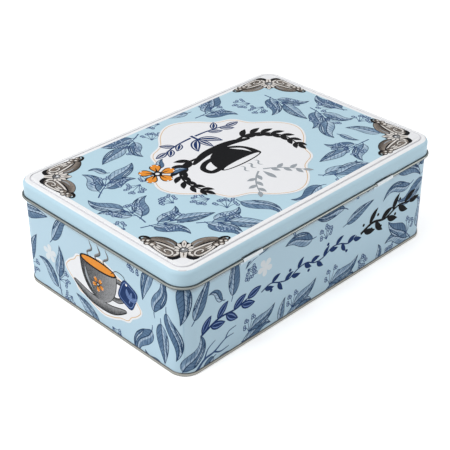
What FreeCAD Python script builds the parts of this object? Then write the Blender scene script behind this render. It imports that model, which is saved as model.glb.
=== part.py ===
"""Rectangular hinged-lid storage tin: a can body, a seamed-on base and a shallow cap lid.

Frame: origin at the middle of the footprint on the standing plane, +Z up, X along the
length, Y along the depth. The lid opens at the front (-Y) and hinges on the back (+Y).
All sizes are millimetres and sit in the spreadsheet; everything below is bound to them.
"""
import FreeCAD, Part
import math
import os

import Sketcher
from FreeCAD import Vector

# alias: (millimetres, what it is)
SIZES = {
    "body_length": (225.2, "outside of the can wall along X"),
    "body_width": (149.2, "outside of the can wall along Y"),
    "corner_radius": (11.0, "outside corner of the can wall, in plan"),
    "overall_height": (74.0, "standing plane to the top of the lid panel"),
    "sheet": (0.3, "tinplate thickness"),
    "fit_gap": (0.05, "play between pieces that are pressed together"),
    "seam_height": (2.5, "height of the seam that rolls the base onto the can"),
    "seam_proud": (0.5, "how far the seam stands out of the can wall"),
    "seam_thickness": (2.2, "seam measured across, from outside to inside"),
    "seam_bevel": (0.35, "slope that eases the seam's outer edges"),
    "base_recess": (1.5, "base panel above the standing plane"),
    "lid_height": (12.0, "underside of the lid's curled edge to the top of its panel"),
    "shoulder_radius": (2.4, "rounding of the shoulder"),
    "neck_inset": (1.2, "neck inside the can wall, all round"),
    "neck_bevel": (1.6, "slope that eases the neck's top edge"),
    "joint_width": (0.35, "open line of the can's upright side joint"),
    "joint_depth": (0.2, "depth of that line"),
    "skirt_offset": (1.0, "outside of the lid skirt beyond the can wall"),
    "lid_gap": (1.8, "shoulder to the underside of the lid's curled edge"),
    "curl_size": (1.7, "diameter of the lid's curled edge"),
    "lid_round": (2.7, "rounding between the lid's skirt and its rim"),
    "rim_bevel": (1.8, "slope inside that rounding, where the lid clears the neck"),
    "rim_width": (4.3, "skirt to the groove on the lid, measured level"),
    "groove_width": (1.1, "groove between the rim and the raised panel"),
    "groove_depth": (0.4, "groove below the rim"),
    "panel_rise": (0.4, "raised panel above the rim"),
    "panel_bevel": (0.3, "slope that eases the panel's edge"),
    "hinge_spacing": (120.0, "between the middles of the two hinges"),
    "hinge_width": (15.5, "rolled tongue along X"),
    "hinge_gap": (0.2, "rolled tongue to the lid's curled edge inside it"),
    "window_side_gap": (0.7, "skirt window past each end of the tongue"),
    "window_top_gap": (0.5, "skirt window above the tongue"),
    "tongue_slope": (30.0, "degrees that the tongue rises as it leaves the can"),
    "tongue_end": (150.0, "degrees at which the rolled tongue ends"),
}


class Size:
    """A length held both as a number and as the spreadsheet formula that gives it."""

    def __init__(self, number, formula):
        self.number = number
        self.formula = formula

    @staticmethod
    def of(value):
        """Return value as a Size, so that plain numbers can take part."""
        return value if isinstance(value, Size) else Size(float(value), repr(float(value)))

    def __add__(self, other):
        other = Size.of(other)
        return Size(self.number + other.number, f"({self.formula} + {other.formula})")

    def __sub__(self, other):
        other = Size.of(other)
        return Size(self.number - other.number, f"({self.formula} - {other.formula})")

    def __mul__(self, other):
        other = Size.of(other)
        return Size(self.number * other.number, f"({self.formula} * {other.formula})")

    def __truediv__(self, other):
        other = Size.of(other)
        return Size(self.number / other.number, f"({self.formula} / {other.formula})")

    def __neg__(self):
        return Size.of(0) - self


def make_sheet(doc):
    """Write the driving dimensions to a spreadsheet and return them as Size values."""
    sheet = doc.addObject("Spreadsheet::Sheet", "Sizes")
    sizes = {}
    for row, (alias, (number, meaning)) in enumerate(SIZES.items(), start=1):
        sheet.set(f"A{row}", alias)
        sheet.set(f"B{row}", str(number))
        sheet.set(f"C{row}", meaning)
        sheet.setAlias(f"B{row}", alias)
        sizes[alias] = Size(number, f"Sizes.{alias}")
    doc.recompute()
    return sizes


def origin_plane(body, role):
    """Return one of the body's own origin planes, such as XY_Plane."""
    return next(item for item in body.Origin.OriginFeatures if item.Role == role)


def add_sketch(body, name, role="XY_Plane", shift=0.0):
    """Attach a new sketch to an origin plane, moved along the plane's normal by shift."""
    sketch = body.newObject("Sketcher::SketchObject", name)
    sketch.AttachmentSupport = [(origin_plane(body, role), "")]
    sketch.MapMode = "FlatFace"
    shift = Size.of(shift)
    sketch.AttachmentOffset = FreeCAD.Placement(Vector(0, 0, shift.number), FreeCAD.Rotation())
    sketch.setExpression("AttachmentOffset.Base.z", shift.formula)
    return sketch


def drive(sketch, size, kind, *where):
    """Add a dimension to the sketch and bind it to a Size."""
    index = sketch.addConstraint(Sketcher.Constraint(kind, *where, size.number))
    sketch.setExpression(f"Constraints[{index}]", size.formula)


def rounded_rectangle(sketch, length, width, radius):
    """Draw a rectangle with round corners about the sketch's origin, starting at its back."""
    half_x = length.number / 2
    half_y = width.number / 2
    round_ = radius.number
    flat_x = half_x - round_
    flat_y = half_y - round_
    corners = (
        ((-flat_x, half_y), (flat_x, half_y), (flat_x, flat_y), 90.0),
        ((half_x, flat_y), (half_x, -flat_y), (flat_x, -flat_y), 0.0),
        ((flat_x, -half_y), (-flat_x, -half_y), (-flat_x, -flat_y), -90.0),
        ((-half_x, -flat_y), (-half_x, flat_y), (-flat_x, flat_y), 180.0),
    )
    lines = []
    arcs = []
    for start, end, centre, turn in corners:
        lines.append(sketch.addGeometry(
            Part.LineSegment(Vector(*start, 0), Vector(*end, 0)), False))
        circle = Part.Circle(Vector(*centre, 0), Vector(0, 0, 1), round_)
        arcs.append(sketch.addGeometry(
            Part.ArcOfCircle(circle, math.radians(turn - 90), math.radians(turn)), False))
    for index in range(4):
        following = lines[(index + 1) % 4]
        sketch.addConstraint(Sketcher.Constraint("Tangent", lines[index], 2, arcs[index], 2))
        sketch.addConstraint(Sketcher.Constraint("Tangent", arcs[index], 1, following, 1))
        if index:
            sketch.addConstraint(Sketcher.Constraint("Equal", arcs[0], arcs[index]))
    sketch.addConstraint(Sketcher.Constraint("Horizontal", lines[0]))
    sketch.addConstraint(Sketcher.Constraint("Vertical", lines[1]))
    sketch.addConstraint(Sketcher.Constraint("Horizontal", lines[2]))
    sketch.addConstraint(Sketcher.Constraint("Vertical", lines[3]))
    drive(sketch, radius, "Radius", arcs[0])
    drive(sketch, width / 2, "DistanceY", -1, 1, lines[0], 1)
    drive(sketch, length / 2, "DistanceX", -1, 1, lines[1], 1)
    drive(sketch, width / 2, "DistanceY", lines[2], 1, -1, 1)
    drive(sketch, length / 2, "DistanceX", lines[3], 1, -1, 1)


def rectangle(sketch, left, right, bottom, top):
    """Draw a plain rectangle from four distances to the sketch's origin."""
    places = (
        (left, bottom, right, bottom),
        (right, bottom, right, top),
        (right, top, left, top),
        (left, top, left, bottom),
    )
    lines = [
        sketch.addGeometry(Part.LineSegment(
            Vector(x1.number, y1.number, 0), Vector(x2.number, y2.number, 0)), False)
        for x1, y1, x2, y2 in places
    ]
    for index in range(4):
        following = lines[(index + 1) % 4]
        sketch.addConstraint(Sketcher.Constraint("Coincident", lines[index], 2, following, 1))
        kind = "Vertical" if index % 2 else "Horizontal"
        sketch.addConstraint(Sketcher.Constraint(kind, lines[index]))
    drive(sketch, left, "DistanceX", -1, 1, lines[0], 1)
    drive(sketch, bottom, "DistanceY", -1, 1, lines[0], 1)
    drive(sketch, right, "DistanceX", -1, 1, lines[2], 1)
    drive(sketch, top, "DistanceY", -1, 1, lines[2], 1)


def outline(sketch, sizes, grow):
    """Draw the can's plan outline, grown outward by grow (inward if negative)."""
    rounded_rectangle(
        sketch,
        sizes["body_length"] + grow * 2,
        sizes["body_width"] + grow * 2,
        sizes["corner_radius"] + grow,
    )


def pad(body, name, sketch, height):
    """Raise the sketch's closed outline by height along its normal."""
    feature = body.newObject("PartDesign::Pad", name)
    feature.Profile = sketch
    feature.Length = height.number
    feature.setExpression("Length", height.formula)
    return feature


def pocket(body, name, sketch, depth, upward=False):
    """Cut the sketch's outline out of the body, and check that it removed material."""
    body.Document.recompute()
    before = body.Shape.Volume
    feature = body.newObject("PartDesign::Pocket", name)
    feature.Profile = sketch
    feature.Length = depth.number
    feature.Reversed = upward
    feature.setExpression("Length", depth.formula)
    body.Document.recompute()
    if body.Shape.Volume >= before:
        raise RuntimeError(f"{name} cut nothing")
    return feature


def ease_level_edges(body, name, height, amount, keep=lambda edge: True, bevel=False):
    """Fillet, or bevel, the edges that lie level at height and that keep accepts."""
    body.Document.recompute()
    base = body.Tip
    names = []
    for number, edge in enumerate(base.Shape.Edges, start=1):
        box = edge.BoundBox
        level = box.ZLength < 1e-4 and abs(box.ZMin - height.number) < 1e-4
        if level and keep(edge):
            names.append(f"Edge{number}")
    if not names:
        raise RuntimeError(f"{name} found no edge")
    kind, measure = ("Chamfer", "Size") if bevel else ("Fillet", "Radius")
    feature = body.newObject(f"PartDesign::{kind}", name)
    feature.Base = (base, names)
    setattr(feature, measure, amount.number)
    feature.setExpression(measure, amount.formula)
    body.Document.recompute()
    return feature


def reaches_past(sizes, grow):
    """Accept edges whose box leaves the can's outline grown by grow."""
    half = (sizes["body_length"] / 2 + grow).number
    side = (sizes["body_width"] / 2 + grow).number

    def accept(edge):
        box = edge.BoundBox
        slack = 0.01
        out_x = max(abs(box.XMin), abs(box.XMax)) > half - slack
        out_y = max(abs(box.YMin), abs(box.YMax)) > side - slack
        return out_x or out_y

    return accept


def mirror_across_length(body, name, feature):
    """Repeat a feature on the other side of the YZ plane."""
    mirrored = body.newObject("PartDesign::Mirrored", name)
    mirrored.Originals = [feature]
    mirrored.MirrorPlane = (origin_plane(body, "YZ_Plane"), [""])
    body.Tip = mirrored
    body.Document.recompute()
    return mirrored


def make_base(doc, sizes):
    """Base: a level panel inside an upright seam that grips the foot of the can wall."""
    body = doc.addObject("PartDesign::Body", "Base")
    body.Label = "base"
    panel_top = sizes["base_recess"] + sizes["sheet"]

    blank = add_sketch(body, "SeamOutline")
    outline(blank, sizes, sizes["seam_proud"])
    pad(body, "SeamBlank", blank, sizes["seam_height"])

    under = add_sketch(body, "RecessOutline")
    outline(under, sizes, sizes["seam_proud"] - sizes["seam_thickness"])
    pocket(body, "Recess", under, sizes["base_recess"], upward=True)

    seat = add_sketch(body, "SeatOutline", shift=sizes["seam_height"])
    outline(seat, sizes, sizes["fit_gap"])
    pocket(body, "Seat", seat, sizes["seam_height"] - panel_top)

    outside = reaches_past(sizes, sizes["seam_proud"])
    for name, level in (("SeamFoot", Size.of(0)), ("SeamTop", sizes["seam_height"])):
        ease_level_edges(body, name, level, sizes["seam_bevel"], outside, bevel=True)
    return body


def shoulder_top(sizes):
    """Return the height of the top of the can's shoulder, under the shut lid."""
    return sizes["overall_height"] - sizes["lid_height"] - sizes["lid_gap"]


def draw_bead(sketch, centre_x, centre_y, radius, sides=12):
    """Draw a curled edge's round section as narrow flats that touch the true circle."""
    half_turn = math.pi / sides
    reach = radius / math.cos(half_turn)
    centre = Vector(centre_x.number, centre_y.number, 0)
    angles = [half_turn * (2 * index + 1) + math.pi / 2 for index in range(sides + 1)]
    corners = [centre + Vector(math.cos(a), math.sin(a), 0) * reach.number for a in angles]
    guide = sketch.addGeometry(Part.Circle(centre, Vector(0, 0, 1), reach.number), True)
    flats = [
        sketch.addGeometry(Part.LineSegment(start, finish), False)
        for start, finish in zip(corners, corners[1:])
    ]
    for index, flat in enumerate(flats):
        following = flats[(index + 1) % sides]
        sketch.addConstraint(Sketcher.Constraint("Coincident", flat, 2, following, 1))
        sketch.addConstraint(Sketcher.Constraint("PointOnObject", flat, 1, guide))
        if index:
            sketch.addConstraint(Sketcher.Constraint("Equal", flats[0], flat))
    sketch.addConstraint(Sketcher.Constraint("Horizontal", flats[-1]))
    drive(sketch, centre_x, "DistanceX", -1, 1, guide, 3)
    drive(sketch, centre_y, "DistanceY", -1, 1, guide, 3)
    drive(sketch, reach, "Radius", guide)


def hinge_levels(sizes):
    """Return the hinge axis (Y, Z) and the rolled tongue's inner and outer radius."""
    curl_radius = sizes["curl_size"] / 2
    axis_y = sizes["body_width"] / 2 + sizes["skirt_offset"] - sizes["sheet"] + curl_radius
    axis_z = sizes["overall_height"] - sizes["lid_height"] + curl_radius
    inner = curl_radius + sizes["hinge_gap"]
    return axis_y, axis_z, inner, inner + sizes["sheet"]


def draw_tongue(sketch, sizes):
    """Draw a hinge tongue from the side: up the can wall, outward, and rolled round the axis."""
    axis_y, axis_z, inner, outer = hinge_levels(sizes)
    wall = sizes["body_width"] / 2
    foot = shoulder_top(sizes) - sizes["shoulder_radius"] * 1.5
    slope = math.radians(sizes["tongue_slope"].number)
    end = math.radians(sizes["tongue_end"].number)
    touch = slope - math.pi / 2
    centre = Vector(axis_y.number, axis_z.number, 0)

    def on_circle(radius, angle):
        """Return the point of the roll at this radius and angle."""
        return centre + Vector(math.cos(angle), math.sin(angle), 0) * radius

    def bend(radius, side):
        """Return the point where the sloping stretch meets the upright one."""
        point = on_circle(radius, touch)
        return Vector(side, point.y - (point.x - side) * math.tan(slope), 0)

    face = wall.number
    back = (wall - sizes["sheet"]).number
    corners = {
        "foot": Vector(face, foot.number, 0),
        "bend": bend(outer.number, face),
        "touch": on_circle(outer.number, touch),
        "tip": on_circle(outer.number, end),
        "inner_tip": on_circle(inner.number, end),
        "inner_touch": on_circle(inner.number, touch),
        "inner_bend": bend(inner.number, back),
        "inner_foot": Vector(back, foot.number, 0),
    }

    def line(start, finish):
        """Add a straight edge between two named corners."""
        return sketch.addGeometry(Part.LineSegment(corners[start], corners[finish]), False)

    def roll(radius):
        """Add a rolled edge of this radius round the axis."""
        circle = Part.Circle(centre, Vector(0, 0, 1), radius)
        return sketch.addGeometry(Part.ArcOfCircle(circle, touch, end), False)

    upright = line("foot", "bend")
    slant = line("bend", "touch")
    outer_roll = roll(outer.number)
    tip = line("tip", "inner_tip")
    inner_roll = roll(inner.number)
    inner_slant = line("inner_touch", "inner_bend")
    inner_upright = line("inner_bend", "inner_foot")
    sole = line("inner_foot", "foot")

    def relate(kind, *where):
        """Add a geometric relation to the sketch."""
        sketch.addConstraint(Sketcher.Constraint(kind, *where))

    relate("Coincident", upright, 2, slant, 1)
    relate("Tangent", slant, 2, outer_roll, 1)
    relate("Coincident", outer_roll, 2, tip, 1)
    relate("Coincident", tip, 2, inner_roll, 2)
    relate("Tangent", inner_roll, 1, inner_slant, 1)
    relate("Coincident", inner_slant, 2, inner_upright, 1)
    relate("Coincident", inner_upright, 2, sole, 1)
    relate("Coincident", sole, 2, upright, 1)
    relate("Coincident", inner_roll, 3, outer_roll, 3)
    relate("Vertical", upright)
    relate("Vertical", inner_upright)
    relate("Horizontal", sole)
    relate("PointOnObject", outer_roll, 3, tip)
    relate("Parallel", slant, inner_slant)
    drive(sketch, axis_y, "DistanceX", -1, 1, outer_roll, 3)
    drive(sketch, axis_z, "DistanceY", -1, 1, outer_roll, 3)
    drive(sketch, outer, "Radius", outer_roll)
    drive(sketch, inner, "Radius", inner_roll)
    drive(sketch, wall, "DistanceX", -1, 1, upright, 1)
    drive(sketch, foot, "DistanceY", -1, 1, upright, 1)
    drive(sketch, wall - sizes["sheet"], "DistanceX", -1, 1, inner_upright, 2)
    angle = sketch.addConstraint(Sketcher.Constraint("Angle", slant, slope))
    sketch.setExpression(f"Constraints[{angle}]", f"{sizes['tongue_slope'].formula} * 1 deg")
    angle = sketch.addConstraint(Sketcher.Constraint("Angle", tip, end + math.pi))
    sketch.setExpression(
        f"Constraints[{angle}]", f"({sizes['tongue_end'].formula} - 180) * 1 deg")


def make_tin_body(doc, sizes):
    """Can body: wall, rounded shoulder, neck, side joint line and two rolled hinge tongues."""
    body = doc.addObject("PartDesign::Body", "TinBody")
    body.Label = "tin_body"
    foot = sizes["base_recess"] + sizes["sheet"]
    neck_top = sizes["overall_height"] - sizes["panel_rise"] - sizes["groove_depth"]
    neck_top = neck_top - sizes["sheet"]
    shoulder = shoulder_top(sizes)

    wall = add_sketch(body, "WallOutline", shift=foot)
    outline(wall, sizes, Size.of(0))
    pad(body, "Wall", wall, shoulder - foot)
    ease_level_edges(body, "Shoulder", shoulder, sizes["shoulder_radius"])

    neck_foot = shoulder - sizes["shoulder_radius"]
    neck = add_sketch(body, "NeckOutline", shift=neck_foot)
    outline(neck, sizes, -sizes["neck_inset"])
    pad(body, "Neck", neck, neck_top - neck_foot)
    ease_level_edges(body, "NeckEdge", neck_top, sizes["neck_bevel"], bevel=True)

    side = add_sketch(body, "TongueSide", "YZ_Plane", sizes["hinge_spacing"] / 2)
    draw_tongue(side, sizes)
    tongue = pad(body, "Tongue", side, sizes["hinge_width"])
    tongue.SideType = "Symmetric"
    mirror_across_length(body, "Tongues", tongue)

    diagonal = math.sqrt(0.5)
    reach = sizes["corner_radius"] - sizes["joint_depth"]
    half_width = sizes["joint_width"] / 2 * diagonal
    joint = body.newObject("PartDesign::SubtractiveBox", "SideJoint")
    joint.Placement = FreeCAD.Placement(Vector(), FreeCAD.Rotation(Vector(0, 0, 1), 45))
    placing = {
        "Length": sizes["joint_depth"] * 2,
        "Width": sizes["joint_width"],
        "Height": shoulder - foot,
        "Placement.Base.x": sizes["body_length"] / 2 - sizes["corner_radius"]
        + reach * diagonal + half_width,
        "Placement.Base.y": sizes["body_width"] / 2 - sizes["corner_radius"]
        + reach * diagonal - half_width,
        "Placement.Base.z": foot,
    }
    for name, size in placing.items():
        joint.setExpression(name, size.formula)
    body.Document.recompute()
    return body


def make_lid(doc, sizes):
    """Lid: a drawn cap with a raised panel, a rounded rim, a skirt and a curled edge."""
    body = doc.addObject("PartDesign::Body", "Lid")
    body.Label = "lid"
    axis_y, axis_z, _, tongue_radius = hinge_levels(sizes)
    rim_top = sizes["overall_height"] - sizes["panel_rise"]
    groove_floor = rim_top - sizes["groove_depth"]
    underside = groove_floor - sizes["sheet"]
    groove_out = sizes["skirt_offset"] - sizes["rim_width"]
    panel_edge = groove_out - sizes["groove_width"]
    cavity = sizes["skirt_offset"] - sizes["sheet"]

    skirt = add_sketch(body, "SkirtOutline", shift=axis_z)
    outline(skirt, sizes, sizes["skirt_offset"])
    pad(body, "Skirt", skirt, rim_top - axis_z)
    hollow = add_sketch(body, "HollowOutline", shift=axis_z)
    outline(hollow, sizes, cavity)
    pocket(body, "Hollow", hollow, underside - axis_z, upward=True)
    ease_level_edges(body, "RimInside", underside, sizes["rim_bevel"], bevel=True)
    ease_level_edges(body, "Rim", rim_top, sizes["lid_round"])

    groove = add_sketch(body, "GrooveOutline", shift=rim_top)
    outline(groove, sizes, groove_out)
    outline(groove, sizes, panel_edge)
    pocket(body, "Groove", groove, sizes["groove_depth"])

    panel = add_sketch(body, "PanelOutline", shift=groove_floor)
    outline(panel, sizes, panel_edge)
    pad(body, "Panel", panel, sizes["overall_height"] - groove_floor)
    ease_level_edges(
        body, "PanelEdge", sizes["overall_height"], sizes["panel_bevel"], bevel=True)

    under = add_sketch(body, "PanelUnderside", shift=underside)
    outline(under, sizes, panel_edge - sizes["sheet"])
    pocket(body, "PanelHollow", under, sizes["panel_rise"] + sizes["groove_depth"], upward=True)

    window_top = axis_z + tongue_radius + sizes["window_top_gap"]
    window = add_sketch(body, "WindowOutline", shift=window_top)
    half = sizes["hinge_width"] / 2 + sizes["window_side_gap"]
    middle = sizes["hinge_spacing"] / 2
    rectangle(window, middle - half, middle + half,
              sizes["body_width"] / 2 + cavity - sizes["fit_gap"], axis_y)
    opening = pocket(body, "Window", window, window_top - axis_z)
    mirror_across_length(body, "Windows", opening)

    path = add_sketch(body, "CurlPath", shift=axis_z)
    curl_radius = sizes["curl_size"] / 2
    outline(path, sizes, cavity + curl_radius)
    path_start = sizes["corner_radius"] - sizes["body_length"] / 2
    section = add_sketch(body, "CurlSection", "YZ_Plane", path_start)
    draw_bead(section, axis_y, axis_z, curl_radius)
    doc.recompute()
    curl = body.newObject("PartDesign::AdditivePipe", "Curl")
    curl.Profile = section
    curl.Spine = (path, [f"Edge{number}" for number in range(1, 9)])
    doc.recompute()
    return body


def check_document(doc, bodies):
    """Stop if any object of the document failed or a sub-part is not one sound solid."""
    failed = [item.Name for item in doc.Objects if {"Invalid", "Error"} & set(item.State)]
    if failed:
        raise RuntimeError(f"failed objects: {failed}")
    for body in bodies:
        shape = body.Shape
        if shape.isNull() or not shape.isValid() or len(shape.Solids) != 1:
            raise RuntimeError(f"{body.Label} is not one sound solid")


def main():
    """Build the tin and write each sub-part as a STEP file named after its label."""
    doc = FreeCAD.newDocument("StorageTin")
    sizes = make_sheet(doc)
    bodies = [make_base(doc, sizes), make_tin_body(doc, sizes), make_lid(doc, sizes)]
    doc.recompute()
    check_document(doc, bodies)
    os.makedirs("parts", exist_ok=True)
    for body in bodies:
        body.Shape.exportStep(os.path.join("parts", f"{body.Label}.step"))
        box = body.Shape.BoundBox
        print(f"{body.Label}: {box.XLength:.2f} x {box.YLength:.2f} x {box.ZLength:.2f} mm, "
              f"z {box.ZMin:.2f} to {box.ZMax:.2f}, {body.Shape.Volume:.0f} mm3")


main()
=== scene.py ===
"""Dresses the flat hinged-lid tea tin: lacquered tinplate with line-printed leaves, plaques and scrolls.

The tin's own sheet-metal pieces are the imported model's nodes and only get their finishes here. The print is
ink film: thin flat meshes drawn in millimetres on an unrolled sheet and laid on the lid's panel or the can's
wall.
"""

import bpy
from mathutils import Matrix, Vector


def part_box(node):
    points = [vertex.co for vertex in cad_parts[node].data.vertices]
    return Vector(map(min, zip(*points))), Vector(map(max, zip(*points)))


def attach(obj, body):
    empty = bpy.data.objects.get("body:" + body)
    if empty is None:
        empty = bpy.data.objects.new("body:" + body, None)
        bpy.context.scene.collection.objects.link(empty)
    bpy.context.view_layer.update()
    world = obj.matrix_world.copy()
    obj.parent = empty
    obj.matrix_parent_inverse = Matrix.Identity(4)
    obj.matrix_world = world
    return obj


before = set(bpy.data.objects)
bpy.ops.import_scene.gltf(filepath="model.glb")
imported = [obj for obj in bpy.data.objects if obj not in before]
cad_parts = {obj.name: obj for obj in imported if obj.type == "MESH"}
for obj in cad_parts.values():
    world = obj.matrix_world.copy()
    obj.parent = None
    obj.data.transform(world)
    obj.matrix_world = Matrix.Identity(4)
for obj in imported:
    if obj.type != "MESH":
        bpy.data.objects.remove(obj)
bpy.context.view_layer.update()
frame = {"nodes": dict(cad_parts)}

import logging
import math
import random
from collections.abc import Callable, Sequence
from dataclasses import dataclass, field, replace
from enum import Enum
from functools import partial

import bmesh
import bpy
from mathutils import Vector

Point = tuple[float, float]
Circle = tuple[float, float, float]
Area = tuple[float, float, float, float]
Socket = bpy.types.NodeSocket | bpy.types.Node | float | tuple
Adder = Callable[..., bpy.types.Node]

MM = 0.001
ROOT = "root"
LOG = logging.getLogger("tea_tin")


# ---------------------------------------------------------------- colours and nodes

def linear(code: str) -> tuple[float, float, float, float]:
    """Turns an sRGB colour code into the linear colour that a shader takes.

    Args:
        code: The colour as "#rrggbb".

    Returns:
        Linear red, green, blue and an alpha of 1.
    """
    channels = []
    for start in (1, 3, 5):
        value = int(code[start:start + 2], 16) / 255
        channels.append(value / 12.92 if value <= 0.04045 else ((value + 0.055) / 1.055) ** 2.4)
    return (*channels, 1.0)


def add_node(tree: bpy.types.NodeTree, kind: str, *inputs: Socket | dict, **settings) -> bpy.types.Node:
    """Adds one node with its settings and links.

    Args:
        tree: The node tree that gets the node.
        kind: The node's type without "ShaderNode" in front, and after a colon its operation.
        *inputs: For its inputs in order, the value each holds, or the socket or node that feeds it, or all of
            these in a dict by the inputs' names or numbers.
        **settings: The node's own properties.

    Returns:
        The new node.
    """
    kind, _, operation = kind.partition(":")
    node = tree.nodes.new("ShaderNode" + kind)
    if operation:
        node.operation = operation
    for name, value in settings.items():
        setattr(node, name, value)
    given = inputs[0] if inputs and isinstance(inputs[0], dict) else dict(enumerate(inputs))
    for key, value in given.items():
        if isinstance(value, bpy.types.Node):
            value = value.outputs[2 if value.bl_idname == "ShaderNodeMix" else 0]
        if isinstance(value, bpy.types.NodeSocket):
            tree.links.new(value, node.inputs[key])
        else:
            node.inputs[key].default_value = value
    return node


def new_material(name: str) -> tuple[bpy.types.Material, Adder]:
    """Starts a material with an empty node tree.

    Args:
        name: The material's name.

    Returns:
        The material, and what adds a node to it.
    """
    material = bpy.data.materials.new(name)
    material.use_nodes = True
    material.node_tree.nodes.clear()
    return material, partial(add_node, material.node_tree)


def mottled(add: Adder, place: Socket, code: str, grain: float, mottle: float, detail: float) -> Socket:
    """Gives a colour a soft unevenness of tone.

    Args:
        add: Adds a node to the material.
        place: The place on the piece.
        code: The colour.
        grain: How large the uneven spots are, in millimetres.
        mottle: How far the tone strays either way.
        detail: How finely the spots are broken up.

    Returns:
        What gives the colour.
    """
    cloud = add("TexNoise", {"Vector": place, "Scale": 1 / (grain * MM), "Detail": detail})
    value = add("MapRange", {0: cloud, 3: 1 - mottle, 4: 1 + mottle})
    return add("HueSaturation", {"Color": linear(code), "Value": value})


def seen_rays(add: Adder) -> Socket:
    """Tells the rays that show the studio as it is from those that light the tin.

    Args:
        add: Adds a node to the tree.

    Returns:
        What gives 1 for camera, glossy and transmission rays, and 0 for the rest.
    """
    rays = add("LightPath").outputs
    seen = add("Math:MAXIMUM", rays["Is Camera Ray"], rays["Is Glossy Ray"])
    return add("Math:MAXIMUM", seen, rays["Is Transmission Ray"])


# ---------------------------------------------------------------- finishes

@dataclass(frozen=True)
class Varnish:
    """Clear stoving varnish over print: a silk-matt skin with a faint orange peel from the roller."""

    ior: float = 1.5
    level: float = 0.12
    roughness: float = 0.42
    roughness_spread: float = 0.07
    peel_grain: float = 1.4
    peel_height: float = 0.004
    peel_strength: float = 0.35
    blotch_grain: float = 14.0

    def close(self, add: Adder, place: Socket, colour: Socket, metal: Socket = 0.0) -> None:
        """Ends a material with the varnished surface.

        Args:
            add: Adds a node to the material.
            place: The place on the piece.
            colour: The base colour.
            metal: How metallic the surface is.
        """
        peel = add("TexNoise", {"Vector": place, "Scale": 1 / (self.peel_grain * MM), "Detail": 2.0})
        blotch = add("TexNoise", {"Vector": place, "Scale": 1 / (self.blotch_grain * MM), "Detail": 3.0})
        bump = add("Bump", {"Height": peel, "Strength": self.peel_strength,
                            "Distance": self.peel_height * MM})
        rough = add("MapRange", {0: blotch, 3: self.roughness - self.roughness_spread,
                                 4: self.roughness + self.roughness_spread})
        surface = add("BsdfPrincipled", {"Base Color": colour, "Metallic": metal, "Roughness": rough,
                                         "Normal": bump, "IOR": self.ior, "Specular IOR Level": self.level})
        add("OutputMaterial", {"Surface": surface})


# Dark inks soak up the varnish, so that next to no sheen lies over them.
SOAKED = Varnish(level=0.03)


@dataclass(frozen=True)
class PrintedInk:
    """One flat offset ink under the varnish, with the slight mottle of ink on metal."""

    name: str
    code: str
    mottle: float = 0.05
    grain: float = 5.0
    varnish: Varnish = Varnish()

    def make(self) -> bpy.types.Material:
        """Builds the ink.

        Returns:
            The material.
        """
        material, add = new_material(self.name)
        place = add("TexCoord").outputs["Object"]
        self.varnish.close(add, place, mottled(add, place, self.code, self.grain, self.mottle, 4.0))
        return material


@dataclass(frozen=True)
class StippledInk:
    """Grey engraving ink, darker to one side and broken by stipple dots drawn coarse enough to be seen."""

    name: str
    dark: str
    pale: str
    cloud: float = 0.25
    cloud_grain: float = 9.0
    dot_grain: float = 1.1
    dot_reach: Point = (0.1, 0.6)
    dot_tone: Point = (-0.22, 0.18)
    varnish: Varnish = SOAKED

    def make(self) -> bpy.types.Material:
        """Builds the ink from the drawing's own across position and two noises.

        Returns:
            The material.
        """
        material, add = new_material(self.name)
        place = add("TexCoord").outputs["Object"]
        across = add("SeparateXYZ", add("UVMap", uv_map="Print")).outputs[1]
        dots = add("TexVoronoi", {"Vector": place, "Scale": 1 / (self.dot_grain * MM)})
        cloud = add("TexNoise", {"Vector": place, "Scale": 1 / (self.cloud_grain * MM), "Detail": 3.0})
        shade = add("Math:ADD", across, add("MapRange", {0: cloud, 3: -self.cloud, 4: self.cloud}))
        speck = add("MapRange", dots, *self.dot_reach, *self.dot_tone)
        tone = add("Math:ADD", shade, speck, use_clamp=True)
        colour = add("Mix", {0: tone, 6: linear(self.dark), 7: linear(self.pale)}, data_type="RGBA")
        self.varnish.close(add, place, colour)
        return material


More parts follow.
